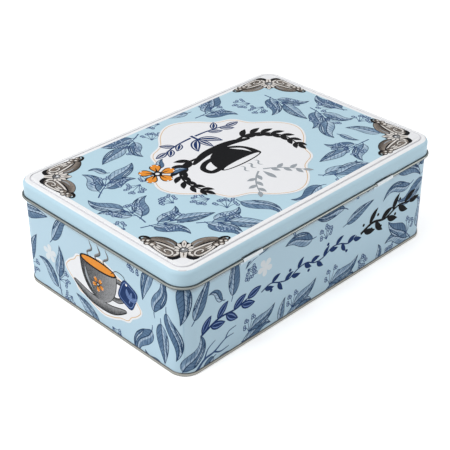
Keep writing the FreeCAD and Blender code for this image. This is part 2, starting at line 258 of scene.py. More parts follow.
@dataclass(frozen=True)
class LeafInk:
    """Blue line-engraved leaf: dark outline and midrib, slanted veins and hatching, a pale and a dark half.

    The veins and the hatching are drawn coarser than an engraver's, so that they show at the tin's size. For
    each, the spacing in millimetres and the inked share of it are given.
    """

    name: str = "ink_engraved_leaf"
    line: str = "#2f4664"
    dark: str = "#5a7694"
    mid: str = "#8aa5bf"
    pale: str = "#b2cada"
    wash: str = "#c4d8ea"
    outline_width: float = 0.42
    rib_width: float = 0.34
    light_width: float = 1.0
    light_blur: float = 0.6
    light_depth: float = 0.6
    veins: Point = (3.4, 0.16)
    vein_depth: float = 0.7
    hatching: Point = (1.05, 0.45)
    hatch_depth: float = 0.24
    slant: float = 1.15
    half_change: float = 0.35
    half_tones: Point = (0.05, 0.62)
    cloud: float = 0.28
    cloud_grain: float = 4.5
    cloud_reach: Point = (0.3, 0.7)
    varnish: Varnish = SOAKED

    def make(self) -> bpy.types.Material:
        """Builds the leaf from its Print map (along, across) and ink attribute (length, half width, tone).

        Returns:
            The material.
        """
        material, add = new_material(self.name)
        place = add("TexCoord").outputs["Object"]
        flat = add("SeparateXYZ", add("UVMap", uv_map="Print")).outputs
        size = add("Attribute", attribute_name="ink").outputs["Vector"]
        length, half, tone = add("SeparateXYZ", size).outputs
        side = add("Math:MULTIPLY_ADD", flat[1], 2.0, -1.0)
        from_rib = add("Math:MULTIPLY", add("Math:ABSOLUTE", side), half)
        from_edge = add("Math:SUBTRACT", half, from_rib)
        along = add("Math:MULTIPLY", flat[0], length)
        lean = add("Math:MULTIPLY_ADD", from_rib, -self.slant, along)
        vein, hatch = [add("Math:LESS_THAN", add("Math:FRACT", add("Math:MULTIPLY", lean, 1 / gap)), inked)
                       for gap, inked in (self.veins, self.hatching)]

        cloud = add("TexNoise", {"Vector": place, "Scale": 1 / (self.cloud_grain * MM), "Detail": 2.0})
        half_tone = add("MapRange", side, -self.half_change, self.half_change, *self.half_tones)
        soft = add("MapRange", cloud, *self.cloud_reach, -self.cloud, self.cloud)
        lit = add("Math:ADD", add("Math:ADD", half_tone, soft), tone)
        body = add("ValToRGB", add("Math:MULTIPLY_ADD", hatch, -self.hatch_depth, lit, use_clamp=True))
        ramp = body.color_ramp.elements
        ramp[0].color, ramp[1].color = linear(self.dark), linear(self.pale)
        ramp.new(0.5).color = linear(self.mid)

        rib = add("Math:LESS_THAN", from_rib, self.rib_width)
        edge = add("Math:LESS_THAN", from_edge, self.outline_width)
        veins = add("Math:MULTIPLY", vein, self.vein_depth)
        lines = add("Math:MAXIMUM", add("Math:MAXIMUM", rib, edge), veins)
        light = add("Math:COMPARE", add("Math:MULTIPLY", side, half), self.light_width,
                    self.light_width * self.light_blur)
        washed = add("Mix", {0: add("Math:MULTIPLY", light, self.light_depth), 6: body, 7: linear(self.wash)},
                     data_type="RGBA")
        colour = add("Mix", {0: lines, 6: washed, 7: linear(self.line)}, data_type="RGBA")
        self.varnish.close(add, place, colour)
        return material


@dataclass(frozen=True)
class SheetLacquer:
    """What both lacquered sheets share: pale blue ink all over, softly uneven, under the varnish.

    Their tones change by height. Each pair of heights, in millimetres, is where a tone starts and where it is
    full.
    """

    name: str
    blue: str
    cloud: float = 0.025
    cloud_grain: float = 30.0
    varnish: Varnish = Varnish()

    def ground(self, add: Adder, place: Socket) -> Socket:
        """The blue ink's uneven colour."""
        return mottled(add, place, self.blue, self.cloud_grain, self.cloud, 3.0)


@dataclass(frozen=True)
class LidLacquer(SheetLacquer):
    """Lid sheet: white ink on the top and its border, blue on the skirt, bare tinplate on the curled edge.

    The curled edge gets a painted shade, dark where it closes on the skirt and underneath.
    """

    name: str = "lacquered_tinplate_lid"
    blue: str = "#bcd9e7"
    white: str = "#f4f5f7"
    # painted shade: the grey of the sunken ring inside the rim
    groove: str = "#dadade"
    bare: str = "#8e918d"
    # painted shade where the curl meets the skirt and under the curl
    crease: str = "#4e5a5f"
    white_top: Point = (73.18, 73.42)
    white_reach: Point = (110.3, 72.3)
    groove_below: float = 73.5
    bare_edge: Point = (64.07, 63.83)
    bare_metal: float = 0.75
    # heights of the painted shade bands: under the curl, and where it meets the skirt
    creases: tuple[Point, Point] = ((62.9, 62.8), (63.59, 63.69))

    def make(self) -> bpy.types.Material:
        """Builds the zones by height, and the white top also by its reach, so that its sunken ring is white
        too;
        a painted shade greys that ring.

        Returns:
            The material.
        """
        material, add = new_material(self.name)
        place = add("TexCoord").outputs["Object"]
        parts = add("SeparateXYZ", place).outputs
        height = parts[2]
        top, bare, low, high = [add("MapRange", height, start * MM, full * MM)
                                for start, full in (self.white_top, self.bare_edge, *self.creases)]
        inside = [add("Math:LESS_THAN", add("Math:ABSOLUTE", parts[axis]), reach * MM)
                  for axis, reach in enumerate(self.white_reach)]
        inner = add("Math:MULTIPLY", *inside)
        # painted shade: where the sunken ring inside the rim is greyed
        sunken = add("Math:MULTIPLY", add("Math:LESS_THAN", height, self.groove_below * MM), inner)
        inner = add("Math:MULTIPLY", inner, add("Math:GREATER_THAN", height, self.white_top[0] * MM))
        white = add("Math:MAXIMUM", top, inner)
        # painted shade on the curl: under it and where it meets the skirt
        curl_shade = add("Math:MAXIMUM", low, high)
        colour = self.ground(add, place)
        panel = add("Mix", {0: sunken, 6: linear(self.white), 7: linear(self.groove)}, data_type="RGBA")
        rolled = add("Mix", {0: curl_shade, 6: linear(self.bare), 7: linear(self.crease)}, data_type="RGBA")
        for share, over in ((white, panel), (bare, rolled)):
            colour = add("Mix", {0: share, 6: colour, 7: over}, data_type="RGBA")
        self.varnish.close(add, place, colour, add("Math:MULTIPLY", bare, self.bare_metal))
        return material


@dataclass(frozen=True)
class WallLacquer(SheetLacquer):
    """Can sheet: painted highlights on the shoulder and the hinge tongues, and a painted shade above the
    tongues.
    """

    name: str = "lacquered_tinplate_can"
    blue: str = "#bcd7e6"
    # painted highlight: the paler band on the rounded shoulder
    rubbed: str = "#dbe9f1"
    # painted highlight: the near-white of the rolled hinge tongues
    tongue: str = "#f1f8fb"
    # painted shade: the dark band at the top of the hinge tongues, under the lid's skirt
    crease: str = "#3f4b52"
    shoulder: Point = (58.3, 59.6)
    tongue_from: float = 60.8
    shaded: Point = (64.0, 64.12)

    def make(self) -> bpy.types.Material:
        """Builds the blue wall, painted highlights on its shoulder and tongues, and painted shade above the
        tongues.

        Returns:
            The material.
        """
        material, add = new_material(self.name)
        place = add("TexCoord").outputs["Object"]
        height = add("SeparateXYZ", place).outputs[2]
        # painted highlight on the shoulder, and painted shade at the top of the hinge tongues
        highlight_share, tongue_shade = [add("MapRange", height, start * MM, full * MM)
                      for start, full in (self.shoulder, self.shaded)]
        rolled = add("Math:GREATER_THAN", height, self.tongue_from * MM)
        colour = self.ground(add, place)
        for share, over in ((highlight_share, self.rubbed), (rolled, self.tongue), (tongue_shade, self.crease)):
            colour = add("Mix", {0: share, 6: colour, 7: linear(over)}, data_type="RGBA")
        self.varnish.close(add, place, colour)
        return material


@dataclass(frozen=True)
class BareTinplate:
    """Bare tinplate of the folded base seam: a warm grey metal with fine rolling lines along the sheet.

    The lines are drawn coarser than a mill's, so that they show. A painted shade darkens the seam's upper
    edge, where it closes on the wall, and its foot.
    """

    name: str = "bare_tinplate_seam"
    code: str = "#999891"
    # painted shade at the seam's foot and along its upper edge against the wall
    soiled: str = "#4b4d4e"
    foot: Point = (0.7, 0.35)
    upper_edge: Point = (1.95, 2.25)
    line_spacing: float = 0.8
    line_stretch: float = 0.04
    line_height: float = 0.01
    line_strength: float = 0.3
    roughness: Point = (0.28, 0.5)
    brightness: Point = (0.88, 1.08)

    def make(self) -> bpy.types.Material:
        """Builds the rolled metal; the lines run level round the tin.

        Returns:
            The material.
        """
        material, add = new_material(self.name)
        place = add("TexCoord").outputs["Object"]
        drawn = add("Mapping", {"Vector": place, "Scale": (self.line_stretch, self.line_stretch, 1.0)})
        lines = add("TexNoise", {"Vector": drawn, "Scale": 1 / (self.line_spacing * MM), "Detail": 4.0})
        rough, value = [add("MapRange", {0: lines, 3: least, 4: most})
                        for least, most in (self.roughness, self.brightness)]
        bump = add("Bump", {"Height": lines, "Strength": self.line_strength,
                            "Distance": self.line_height * MM})
        height = add("SeparateXYZ", place).outputs[2]
        # painted shade: darker at the seam's foot and at its upper edge
        low, high = [add("MapRange", height, start * MM, full * MM)
                     for start, full in (self.foot, self.upper_edge)]
        bright = add("HueSaturation", {"Color": linear(self.code), "Value": value})
        colour = add("Mix", {0: add("Math:MAXIMUM", low, high), 6: bright, 7: linear(self.soiled)},
                     data_type="RGBA")
        surface = add("BsdfPrincipled", {"Base Color": colour, "Roughness": rough, "Normal": bump,
                                         "Metallic": 1.0})
        add("OutputMaterial", {"Surface": surface})
        return material


class Ink(Enum):
    """The inks of the print, each with the finish that makes it."""

    FIELD = PrintedInk("ink_pale_blue", "#bcdae8", mottle=0.025, grain=30.0)
    WHITE = PrintedInk("ink_white", "#eff0f3", mottle=0.015)
    LEAF = LeafInk()
    BLUE_LINE = PrintedInk("ink_blue_line", "#40587f", mottle=0.15, grain=1.6, varnish=SOAKED)
    BLOOM = PrintedInk("ink_bloom_blue", "#a3bbd2", mottle=0.12, grain=1.6)
    GOLD = PrintedInk("ink_gold_line", "#d8b587", mottle=0.12, grain=2.5)
    IVORY = PrintedInk("ink_scroll_ivory", "#ddd8d3", mottle=0.2, grain=1.8)
    BLACK = PrintedInk("ink_black", "#0e0f12", mottle=0.2, grain=2.0, varnish=SOAKED)
    NAVY = PrintedInk("ink_navy", "#213866", mottle=0.1, grain=3.0, varnish=SOAKED)
    INLINE = PrintedInk("ink_inline_blue", "#6c86b8", mottle=0.1, grain=3.0)
    GREY = PrintedInk("ink_grey", "#9aa1a8", mottle=0.12, grain=2.0)
    TAUPE = StippledInk("ink_engraved_taupe", "#3d3733", "#8f857c")
    STONE = StippledInk("ink_stippled_grey", "#25262a", "#959698")
    ORANGE = PrintedInk("ink_orange", "#e8912c", mottle=0.15, grain=2.5)
    PALE = PrintedInk("ink_pale_silhouette", "#dfe6ea", mottle=0.03)

    def material(self) -> bpy.types.Material:
        """The ink's material, made on its first use."""
        return bpy.data.materials.get(self.value.name) or self.value.make()


# ---------------------------------------------------------------- flat drawing

class Path:
    """A smooth flat curve through a few points, in millimetres, walked by its share of length."""

    STEPS = 10

    def __init__(self, points: Sequence[Point], closed: bool = False) -> None:
        """Lays the curve.

        Args:
            points: The points that it passes through.
            closed: Whether it returns to its first point.
        """
        knots = [Vector(point) for point in points]
        if closed:
            run = [knots[-1], *knots, knots[0], knots[1]]
        else:
            run = [knots[0] * 2 - knots[1], *knots, knots[-1] * 2 - knots[-2]]
        self.spots = [run[1]]
        for before, start, end, after in zip(run, run[1:], run[2:], run[3:]):
            for step in range(1, self.STEPS + 1):
                share = step / self.STEPS
                self.spots.append(self._between(before, start, end, after, share))
        self.marks = [0.0]
        for start, end in zip(self.spots, self.spots[1:]):
            self.marks.append(self.marks[-1] + (end - start).length)
        self.length = self.marks[-1]

    @staticmethod
    def _between(before: Vector, start: Vector, end: Vector, after: Vector, share: float) -> Vector:
        """Finds one point of the Catmull-Rom span from start to end.

        Args:
            before: The point before the span.
            start: Its first point.
            end: Its last point.
            after: The point after it.
            share: How far along the span the point is.

        Returns:
            The point.
        """
        slope_in, slope_out = (end - before) / 2, (after - start) / 2
        square, cube = share ** 2, share ** 3
        return (start * (2 * cube - 3 * square + 1) + slope_in * (cube - 2 * square + share)
                + end * (3 * square - 2 * cube) + slope_out * (cube - square))

    def at(self, share: float) -> tuple[Vector, Vector]:
        """Finds a place on the curve.

        Args:
            share: How far along it is, from 0 to 1.

        Returns:
            The spot, and the unit vector that points to the curve's left there.
        """
        goal = min(max(share, 0.0), 1.0) * self.length
        index = 1
        while index < len(self.marks) - 1 and self.marks[index] < goal:
            index += 1
        start, end = self.spots[index - 1], self.spots[index]
        gap = self.marks[index] - self.marks[index - 1]
        part = (goal - self.marks[index - 1]) / gap if gap else 0.0
        ahead = (end - start).normalized()
        return start.lerp(end, part), Vector((-ahead.y, ahead.x))

    def heading(self, share: float) -> float:
        """The direction of travel at a share of the length, in degrees."""
        left = self.at(share)[1]
        return math.degrees(math.atan2(-left.x, left.y))


def polar(centre: Point, distance: float, angle: float) -> Point:
    """The point at a distance and an angle in degrees from a centre."""
    turn = math.radians(angle)
    return centre[0] + distance * math.cos(turn), centre[1] + distance * math.sin(turn)


def bow(start: Point, heading: float, length: float, bend: float, knots: int = 4) -> Path:
    """Makes a gently bending path.

    Args:
        start: Where it starts.
        heading: Its first direction, in degrees.
        length: How long it is.
        bend: How many degrees it turns to the left over its length.
        knots: How many even runs it has.

    Returns:
        The path.
    """
    points = [start]
    for index in range(knots):
        points.append(polar(points[-1], length / knots, heading + bend * (index + 0.5) / knots))
    return Path(points)


def even(width: float) -> Callable[[float], float]:
    """A stroke of one width from end to end."""
    return lambda share: width / 2


def taper(width: float, tip: float = 0.0) -> Callable[[float], float]:
    """A stroke that narrows steadily from its full width to its tip."""
    return lambda share: (width + (tip - width) * share) / 2


def swell(width: float, peak: float = 0.5, sharpness: float = 1.0) -> Callable[[float], float]:
    """A stroke that is pointed at both ends and widest at its peak."""
    power = math.log(0.5) / math.log(peak)
    return lambda share: width / 2 * max(math.sin(math.pi * min(max(share, 0), 1) ** power), 0.0) ** sharpness


def bowl(width: float, fullness: float = 2.4) -> Callable[[float], float]:
    """A form that starts at its full width and closes round at its foot."""
    return lambda share: width / 2 * max(1 - min(max(share, 0.0), 1.0) ** fullness, 0.02) ** 0.5


def oval(half_width: float, half_height: float) -> Callable[[float], Point]:
    """The outline of an oval: its offset from the middle at an angle in radians."""
    return lambda angle: (half_width * math.cos(angle), half_height * math.sin(angle))


def rounded_tag(half_height: float, half_width: float, turn: float) -> Callable[[float], Point]:
    """Makes the outline of a square with well rounded corners.

    Args:
        half_height: Half its height before it is turned.
        half_width: Half its width.
        turn: How far it is turned, in degrees.

    Returns:
        Its offset from the middle at an angle in radians.
    """
    lean, squareness = math.radians(turn), 0.45

    def edge(angle: float) -> Point:
        """Finds the outline's offset.

        Args:
            angle: The angle in radians.

        Returns:
            The offset from the middle.
        """
        side, rise = math.cos(angle), math.sin(angle)
        x = half_width * math.copysign(abs(side) ** squareness, side)
        y = half_height * math.copysign(abs(rise) ** squareness, rise)
        return x * math.cos(lean) - y * math.sin(lean), x * math.sin(lean) + y * math.cos(lean)
    return edge


class Press:
    """Stacks the strokes printed on one surface, so that each lies just above those that it overlaps."""

    FIRST_LIFT = 0.010
    LAYER = 0.003

    def __init__(self) -> None:
        """Starts with a bare surface."""
        self.laid: list[tuple[float, float, float, float, int]] = []

    def lift(self, spots: Sequence[Vector]) -> float:
        """Finds how high a new stroke lies, and remembers it.

        Args:
            spots: The stroke's points.

        Returns:
            Its height over the surface, in millimetres.
        """
        left, right = min(spot.x for spot in spots), max(spot.x for spot in spots)
        low, high = min(spot.y for spot in spots), max(spot.y for spot in spots)
        under = [layer for west, east, south, north, layer in self.laid
                 if west < right and east > left and south < high and north > low]
        layer = max(under, default=-1) + 1
        self.laid.append((left, right, low, high, layer))
        return self.FIRST_LIFT + self.LAYER * layer


class InkSheet:
    """Flat artwork in millimetres, drawn with bmesh operators and then laid on one of the tin's surfaces."""

    MERGE = 2e-7

    def __init__(self, name: str, press: Press) -> None:
        """Starts an empty sheet.

        Args:
            name: The name of the piece that it becomes.
            press: The stack of strokes on the surface that it is printed on.
        """
        self.name = name
        self.press = press
        self.mesh = bmesh.new()
        self.print_map = self.mesh.loops.layers.uv.new("Print")
        self.ink_size = self.mesh.verts.layers.float_vector.new("ink")
        self.inks: list[Ink] = []

    def _finish(self, flat: dict, ink: Ink, size: Callable[[float], tuple]) -> None:
        """Gives freshly shaped vertices their ink, lift, Print map and size.

        Args:
            flat: For each new vertex, its (along, across) place, each from 0 to 1.
            ink: The ink they are printed in.
            size: What the ink attribute holds at a place along.
        """
        if ink not in self.inks:
            self.inks.append(ink)
        lift = self.press.lift([vert.co for vert in flat])
        for vert, (along, _) in flat.items():
            vert.co.z = lift
            vert[self.ink_size] = size(along)
        for face in {face for vert in flat for face in vert.link_faces}:
            face.material_index = self.inks.index(ink)
            for loop in face.loops:
                loop[self.print_map].uv = flat[loop.vert]

    def ribbon(self, path: Path, half_width: Callable[[float], float], ink: Ink, tone: float = 0.0,
               rows: int = 1, step: float = 1.0) -> None:
        """Draws a stroke along a path.

        Args:
            path: Its middle line.
            half_width: Its half width at a share of the length.
            ink: Its ink.
            tone: How much paler an engraved ink is here.
            rows: How many faces it has across.
            step: How long each face is along it.
        """
        cells = max(3, math.ceil(path.length / step))
        grid = bmesh.ops.create_grid(self.mesh, x_segments=cells, y_segments=rows, size=1.0)
        flat = {}
        for vert in grid["verts"]:
            along, across = (vert.co.x + 1) / 2, vert.co.y
            spot, left = path.at(along)
            flat[vert] = (along, (across + 1) / 2)
            vert.co.xy = spot + left * (across * half_width(along))
        self._finish(flat, ink, lambda along: (path.length, half_width(along), tone))

    def outlined(self, path: Path, half_width: Callable[[float], float], ink: Ink, line: float = 0.45,
                 edge: Ink | None = None, rows: int = 1) -> None:
        """Draws a stroke with an outline to either side of it.

        Args:
            path: Its middle line.
            half_width: Its half width without the outline.
            ink: Its ink.
            line: How wide the outline is.
            edge: The outline's ink, black if none is named.
            rows: How many faces it has across.
        """
        self.ribbon(path, lambda share: half_width(share) + line, edge or Ink.BLACK)
        self.ribbon(path, half_width, ink, rows=rows)

    def patch(self, centre: Point, radius: Callable[[float], Point], ink: Ink, sides: int = 24) -> None:
        """Draws a filled shape round a centre.

        Args:
            centre: Its middle.
            radius: The offset from the middle at an angle in radians.
            ink: Its ink.
            sides: How many corners its outline has.
        """
        disc = bmesh.ops.create_circle(self.mesh, cap_ends=True, cap_tris=True, segments=sides, radius=1.0)
        flat = {}
        for vert in disc["verts"]:
            rim = vert.co.xy.length > 0.5
            offset = radius(math.atan2(vert.co.y, vert.co.x)) if rim else (0.0, 0.0)
            flat[vert] = ((vert.co.x + 1) / 2, (vert.co.y + 1) / 2)
            vert.co.xy = (centre[0] + offset[0], centre[1] + offset[1])
        self._finish(flat, ink, lambda along: (1.0, 1.0, 0.0))

    def dot(self, centre: Point, radius: float, ink: Ink, sides: int = 12) -> None:
        """Draws a filled circle."""
        self.patch(centre, oval(radius, radius), ink, sides)

    def trim(self, edge: Point, outward: Point) -> None:
        """Cuts off whatever lies past a straight edge.

        Args:
            edge: A point on the edge.
            outward: The direction of what is cut off.
        """
        parts = [*self.mesh.verts, *self.mesh.edges, *self.mesh.faces]
        bmesh.ops.bisect_plane(self.mesh, geom=parts, plane_co=(*edge, 0.0), plane_no=(*outward, 0.0),
                               clear_outer=True)

    def lay(self, surface: "Panel | Wall") -> bpy.types.Object:
        """Lays the sheet on a surface and makes it a piece of the tin.

        Args:
            surface: What it is printed on.

        Returns:
            The piece.
        """
        first, last = min(vert.co.x for vert in self.mesh.verts), max(vert.co.x for vert in self.mesh.verts)
        for spot, across in surface.folds(first, last):
            parts = [*self.mesh.verts, *self.mesh.edges, *self.mesh.faces]
            bmesh.ops.bisect_plane(self.mesh, geom=parts, plane_co=(*spot, 0.0), plane_no=(*across, 0.0))
        for vert in self.mesh.verts:
            vert.co = surface.place(*vert.co)
        bmesh.ops.remove_doubles(self.mesh, verts=self.mesh.verts[:], dist=self.MERGE)
        bmesh.ops.dissolve_degenerate(self.mesh, edges=self.mesh.edges[:], dist=self.MERGE)
        data = bpy.data.meshes.new(self.name)
        self.mesh.to_mesh(data)
        self.mesh.free()
        for ink in self.inks:
            data.materials.append(ink.material())
        piece = bpy.data.objects.new(self.name, data)
        bpy.context.scene.collection.objects.link(piece)
        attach(piece, ROOT)
        LOG.info("%s: %d faces in %d inks", self.name, len(data.polygons), len(self.inks))
        return piece


# ---------------------------------------------------------------- surfaces of the tin

@dataclass(frozen=True)
class Panel:
    """The lid's raised flat panel, seen from above."""

    top: float

    def place(self, x: float, y: float, lift: float) -> Vector:
        """Where a point of the drawing lies on the panel, in metres."""
        return Vector((x, y, self.top + lift)) * MM

    def folds(self, first: float, last: float) -> list[tuple[Point, Point]]:
        """The lines along which a sheet between two places has to bend: none."""
        return []


@dataclass(frozen=True)
class Wall:
    """The can's upright wall unrolled: distance round it from the middle of the +X end, and height."""

    half_length: float
    half_width: float
    corner: float = 11.0
    shoulder_start: float = 57.8
    shoulder_radius: float = 2.4

    SHOULDER_STEP = 0.35
    CORNER_STEP = 0.9

    @property
    def half_round(self) -> float:
        """Half the way round the wall."""
        return 2 * (self.half_length + self.half_width) - 4 * self.corner + math.pi * self.corner

    @property
    def lip(self) -> float:
        """The height on the unrolled sheet at which the shoulder has turned level."""
        return self.shoulder_start + self.shoulder_radius * math.pi / 2

    def _outline(self, along: float) -> tuple[Vector, Vector]:
        """Walks the rounded outline.

        Args:
            along: The distance from the middle of the +X end, towards +Y.

        Returns:
            The spot there and the way out of the wall.
        """
        tongue_shade, long = 2 * (self.half_width - self.corner), 2 * (self.half_length - self.corner)
        quarter = self.corner * math.pi / 2
        left = (along + tongue_shade / 2) % (2 * self.half_round)
        spot, ahead = Vector((self.half_length, -tongue_shade / 2)), Vector((0.0, 1.0))
        for run in (tongue_shade, long, tongue_shade, long, tongue_shade):
            out = Vector((ahead.y, -ahead.x))
            if left <= run:
                break
            left, spot = left - run, spot + ahead * run
            pivot = spot - out * self.corner
            if left <= quarter:
                turn = left / self.corner
                out = out * math.cos(turn) + ahead * math.sin(turn)
                return pivot + out * self.corner, out
            left -= quarter
            spot, ahead = pivot + ahead * self.corner, -out
        return spot + ahead * left, out

    def place(self, along: float, height: float, lift: float) -> Vector:
        """Finds where a point of the drawing lies on the wall or its rounded shoulder.

        Args:
            along: The distance round the wall.
            height: The height on the unrolled wall.
            lift: The distance off the wall.

        Returns:
            The place, in metres.
        """
        spot, out = self._outline(along)
        lean = min(max((height - self.shoulder_start) / self.shoulder_radius, 0.0), math.pi / 2)
        level = min(height, self.shoulder_start) + self.shoulder_radius * math.sin(lean)
        shift = lift * math.cos(lean) - self.shoulder_radius * (1 - math.cos(lean))
        flat = spot + out * shift
        return Vector((flat.x, flat.y, level + lift * math.sin(lean))) * MM

    def folds(self, first: float, last: float) -> list[tuple[Point, Point]]:
        """The lines along which a sheet has to bend to follow the shoulder and the corners closely.

        Args:
            first: The distance round the wall at which the sheet starts.
            last: The distance at which it ends.

        Returns:
            For each line a point on it and the direction across it.
        """
        rows = math.ceil((self.lip - self.shoulder_start) / self.SHOULDER_STEP)
        level = [self.shoulder_start + (self.lip - self.shoulder_start) * row / rows for row in range(rows)]
        lines = [((0.0, height), (0.0, 1.0)) for height in level]
        arc = self.corner * math.pi / 2
        side, end = 2 * (self.half_length - self.corner), 2 * (self.half_width - self.corner)
        columns = math.ceil(arc / self.CORNER_STEP)
        for half in (-2, -1, 0, 1, 2, 3):
            for start in (end / 2, end / 2 + arc + side):
                first_fold = start + half * self.half_round
                spots = [first_fold + arc * column / columns for column in range(columns + 1)]
                lines += [((spot, 0.0), (1.0, 0.0)) for spot in spots if first < spot < last]
        return lines

    def at_x(self, x: float) -> float:
        """The distance round the wall to a place on the +Y face."""
        return self.half_width + self.half_length - 2 * self.corner + self.corner * math.pi / 2 - x


# ---------------------------------------------------------------- plants of the print

@dataclass(frozen=True)
class Leaf:
    """One engraved leaf: a bent pointed blade on a short stalk."""

    root: Point
    heading: float
    length: float
    width: float
    bend: float = 20.0
    tone: float = 0.0

    FOLD_FROM = 7.0
    KNOTS = 6
    SWING = 1.45

    def spine(self) -> Path:
        """Bends the midrib to one side and back again at the tip.

        Returns:
            The midrib.
        """
        points = [self.root]
        for index in range(self.KNOTS):
            swing = self.bend * math.sin(self.SWING * math.pi * (index + 0.5) / self.KNOTS)
            points.append(polar(points[-1], self.length / self.KNOTS, self.heading + swing))
        return Path(points)

    def cover(self) -> list[Circle]:
        """The circles that the blade covers."""
        path, width = self.spine(), self.blade()
        return [(*path.at(share)[0], width(share)) for share in (0.08, 0.22, 0.36, 0.5, 0.64, 0.8, 0.95)]

    def blade(self) -> Callable[[float], float]:
        """The blade's half width along it."""
        return swell(self.width, peak=0.36, sharpness=0.95)

    def draw(self, sheet: InkSheet) -> None:
        """Draws the stalk, the blade and, on a broad leaf, the pale edge that is turned over.

        Args:
            sheet: The sheet it is drawn on.
        """
        tail = bow(self.root, self.heading + 180, self.length * 0.13, -self.bend * 0.5, 2)
        sheet.ribbon(tail, taper(0.8, 0.5), Ink.BLUE_LINE)
        path, width = self.spine(), self.blade()
        sheet.ribbon(path, width, Ink.LEAF, self.tone, rows=6)
        if self.width > self.FOLD_FROM:
            lean = math.copysign(90.0, self.bend)
            fold = Path([polar(tuple(path.at(share)[0]), width(share) * reach, path.heading(share) + lean)
                         for share, reach in ((0.2, 1.0), (0.38, 0.68), (0.58, 0.62), (0.8, 0.95))])
            sheet.ribbon(fold, swell(self.width * 0.3, 0.45), Ink.LEAF, self.tone + 0.5, rows=3)


@dataclass(frozen=True)
class Umbel:
    """A fan of thin rays that end in small round blooms."""

    root: Point
    heading: float
    size: float
    rays: int = 5
    fan: float = 120.0
    bloom: float = 1.25

    def cover(self) -> list[Circle]:
        """The circles that the fan covers."""
        return [(*self.root, 0.5), (*polar(self.root, self.size * 0.75, self.heading), self.size * 0.62)]

    def draw(self, sheet: InkSheet) -> None:
        """Draws the rays, then a close group of blooms at the end of each.

        Args:
            sheet: The sheet it is drawn on.
        """
        for index in range(self.rays):
            share = index / (self.rays - 1) - 0.5
            reach = self.size * (0.72 + 0.28 * math.cos(share * math.pi))
            ray = bow(self.root, self.heading + self.fan * share * 0.55, reach, self.fan * share * 0.6, 3)
            sheet.ribbon(ray, taper(0.5, 0.34), Ink.BLUE_LINE)
            tip = tuple(ray.at(1.0)[0])
            for centre in (tip, polar(tip, 1.8, 80 + 140 * index), polar(tip, 1.7, 250 + 95 * index)):
                sheet.dot(centre, self.bloom, Ink.BLUE_LINE, 10)
                sheet.dot(centre, self.bloom * 0.55, Ink.BLOOM, 8)


class Tip(Enum):
    """What a sprig ends in."""

    LEAF = "leaf"
    UMBEL = "umbel"


@dataclass(frozen=True)
class Sprig:
    """A bending stem with leaves and umbels to either side in turn and something at its tip."""

    root: Point
    heading: float
    length: float
    bend: float = 25.0
    leaves: int = 2
    leaf_length: float = 24.0
    leaf_width: float = 9.5
    tip: Tip = Tip.LEAF
    tone: float = 0.0
    first_side: int = 1
    umbels: int = 0
    spread: float = 42.0

    def stem(self) -> Path:
        """The stem's middle line."""
        return bow(self.root, self.heading, self.length, self.bend)

    def parts(self) -> list[Leaf | Umbel]:
        """Sets out what grows from the stem, from the root to the tip.

        Returns:
            The leaves and umbels.
        """
        stem, grown = self.stem(), []
        places = self.leaves + self.umbels
        for index in range(places):
            side = self.first_side * (-1) ** index
            share = 0.25 + 0.6 * index / max(places - 1, 1)
            heading = stem.heading(share) + side * self.spread
            spot = tuple(stem.at(share)[0])
            if index < self.leaves:
                shrink = 1 - 0.12 * index
                grown.append(Leaf(polar(spot, 2.6, heading), heading + side * 8, self.leaf_length * shrink,
                                  self.leaf_width * shrink, -side * 30.0, self.tone + 0.1 * side))
            else:
                grown.append(Umbel(spot, heading, self.leaf_length * 0.4))
        end, heading = tuple(stem.at(1.0)[0]), stem.heading(1.0)
        if self.tip is Tip.LEAF:
            grown.append(Leaf(end, heading, self.leaf_length, self.leaf_width, self.bend * 0.8, self.tone))
        elif self.tip is Tip.UMBEL:
            grown.append(Umbel(end, heading, self.leaf_length * 0.46, rays=6, fan=130))
        return grown

    def cover(self) -> list[Circle]:
        """Works out what ground the whole sprig takes.

        Returns:
            The circles that it covers.
        """
        stem = self.stem()
        circles = [(*stem.at(share)[0], 0.6) for share in (0.0, 0.35, 0.7)]
        for part in self.parts():
            circles += part.cover()
        return circles

    def draw(self, sheet: InkSheet) -> None:
        """Draws the stem, then what grows from it.

        Args:
            sheet: The sheet it is drawn on.
        """
        sheet.ribbon(self.stem(), taper(0.95, 0.55), Ink.BLUE_LINE)
        for part in self.parts():
            part.draw(sheet)


# ---------------------------------------------------------------- motifs of the print

@dataclass(frozen=True)
class Blossom:
    """An open flower: pointed petals round a dark eye, with dark tips and pale dots."""

    centre: Point
    size: float
    petals: int = 5
    turn: float = 20.0
    fill: Ink = Ink.ORANGE

    def draw(self, sheet: InkSheet) -> None:
        """Draws the petals outlined in black, their veins and dots, and the eye.

        Args:
            sheet: The sheet it is drawn on.
        """
        for index in range(self.petals):
            angle = self.turn + 360 * index / self.petals
            petal = bow(polar(self.centre, self.size * 0.1, angle), angle, self.size * 0.42, 10.0, 3)
            sheet.outlined(petal, swell(self.size * 0.27, 0.62, 0.7), self.fill, self.size * 0.035)
            vein = bow(polar(self.centre, self.size * 0.12, angle), angle, self.size * 0.24, 8.0, 3)
            sheet.ribbon(vein, taper(self.size * 0.06, 0.1), Ink.BLACK)
            for lean in (-7.0, 13.0):
                sheet.dot(polar(self.centre, self.size * 0.47, angle + lean), self.size * 0.028, Ink.WHITE, 8)
        sheet.dot(self.centre, self.size * 0.13, Ink.BLACK)
        sheet.dot(self.centre, self.size * 0.06, Ink.WHITE)


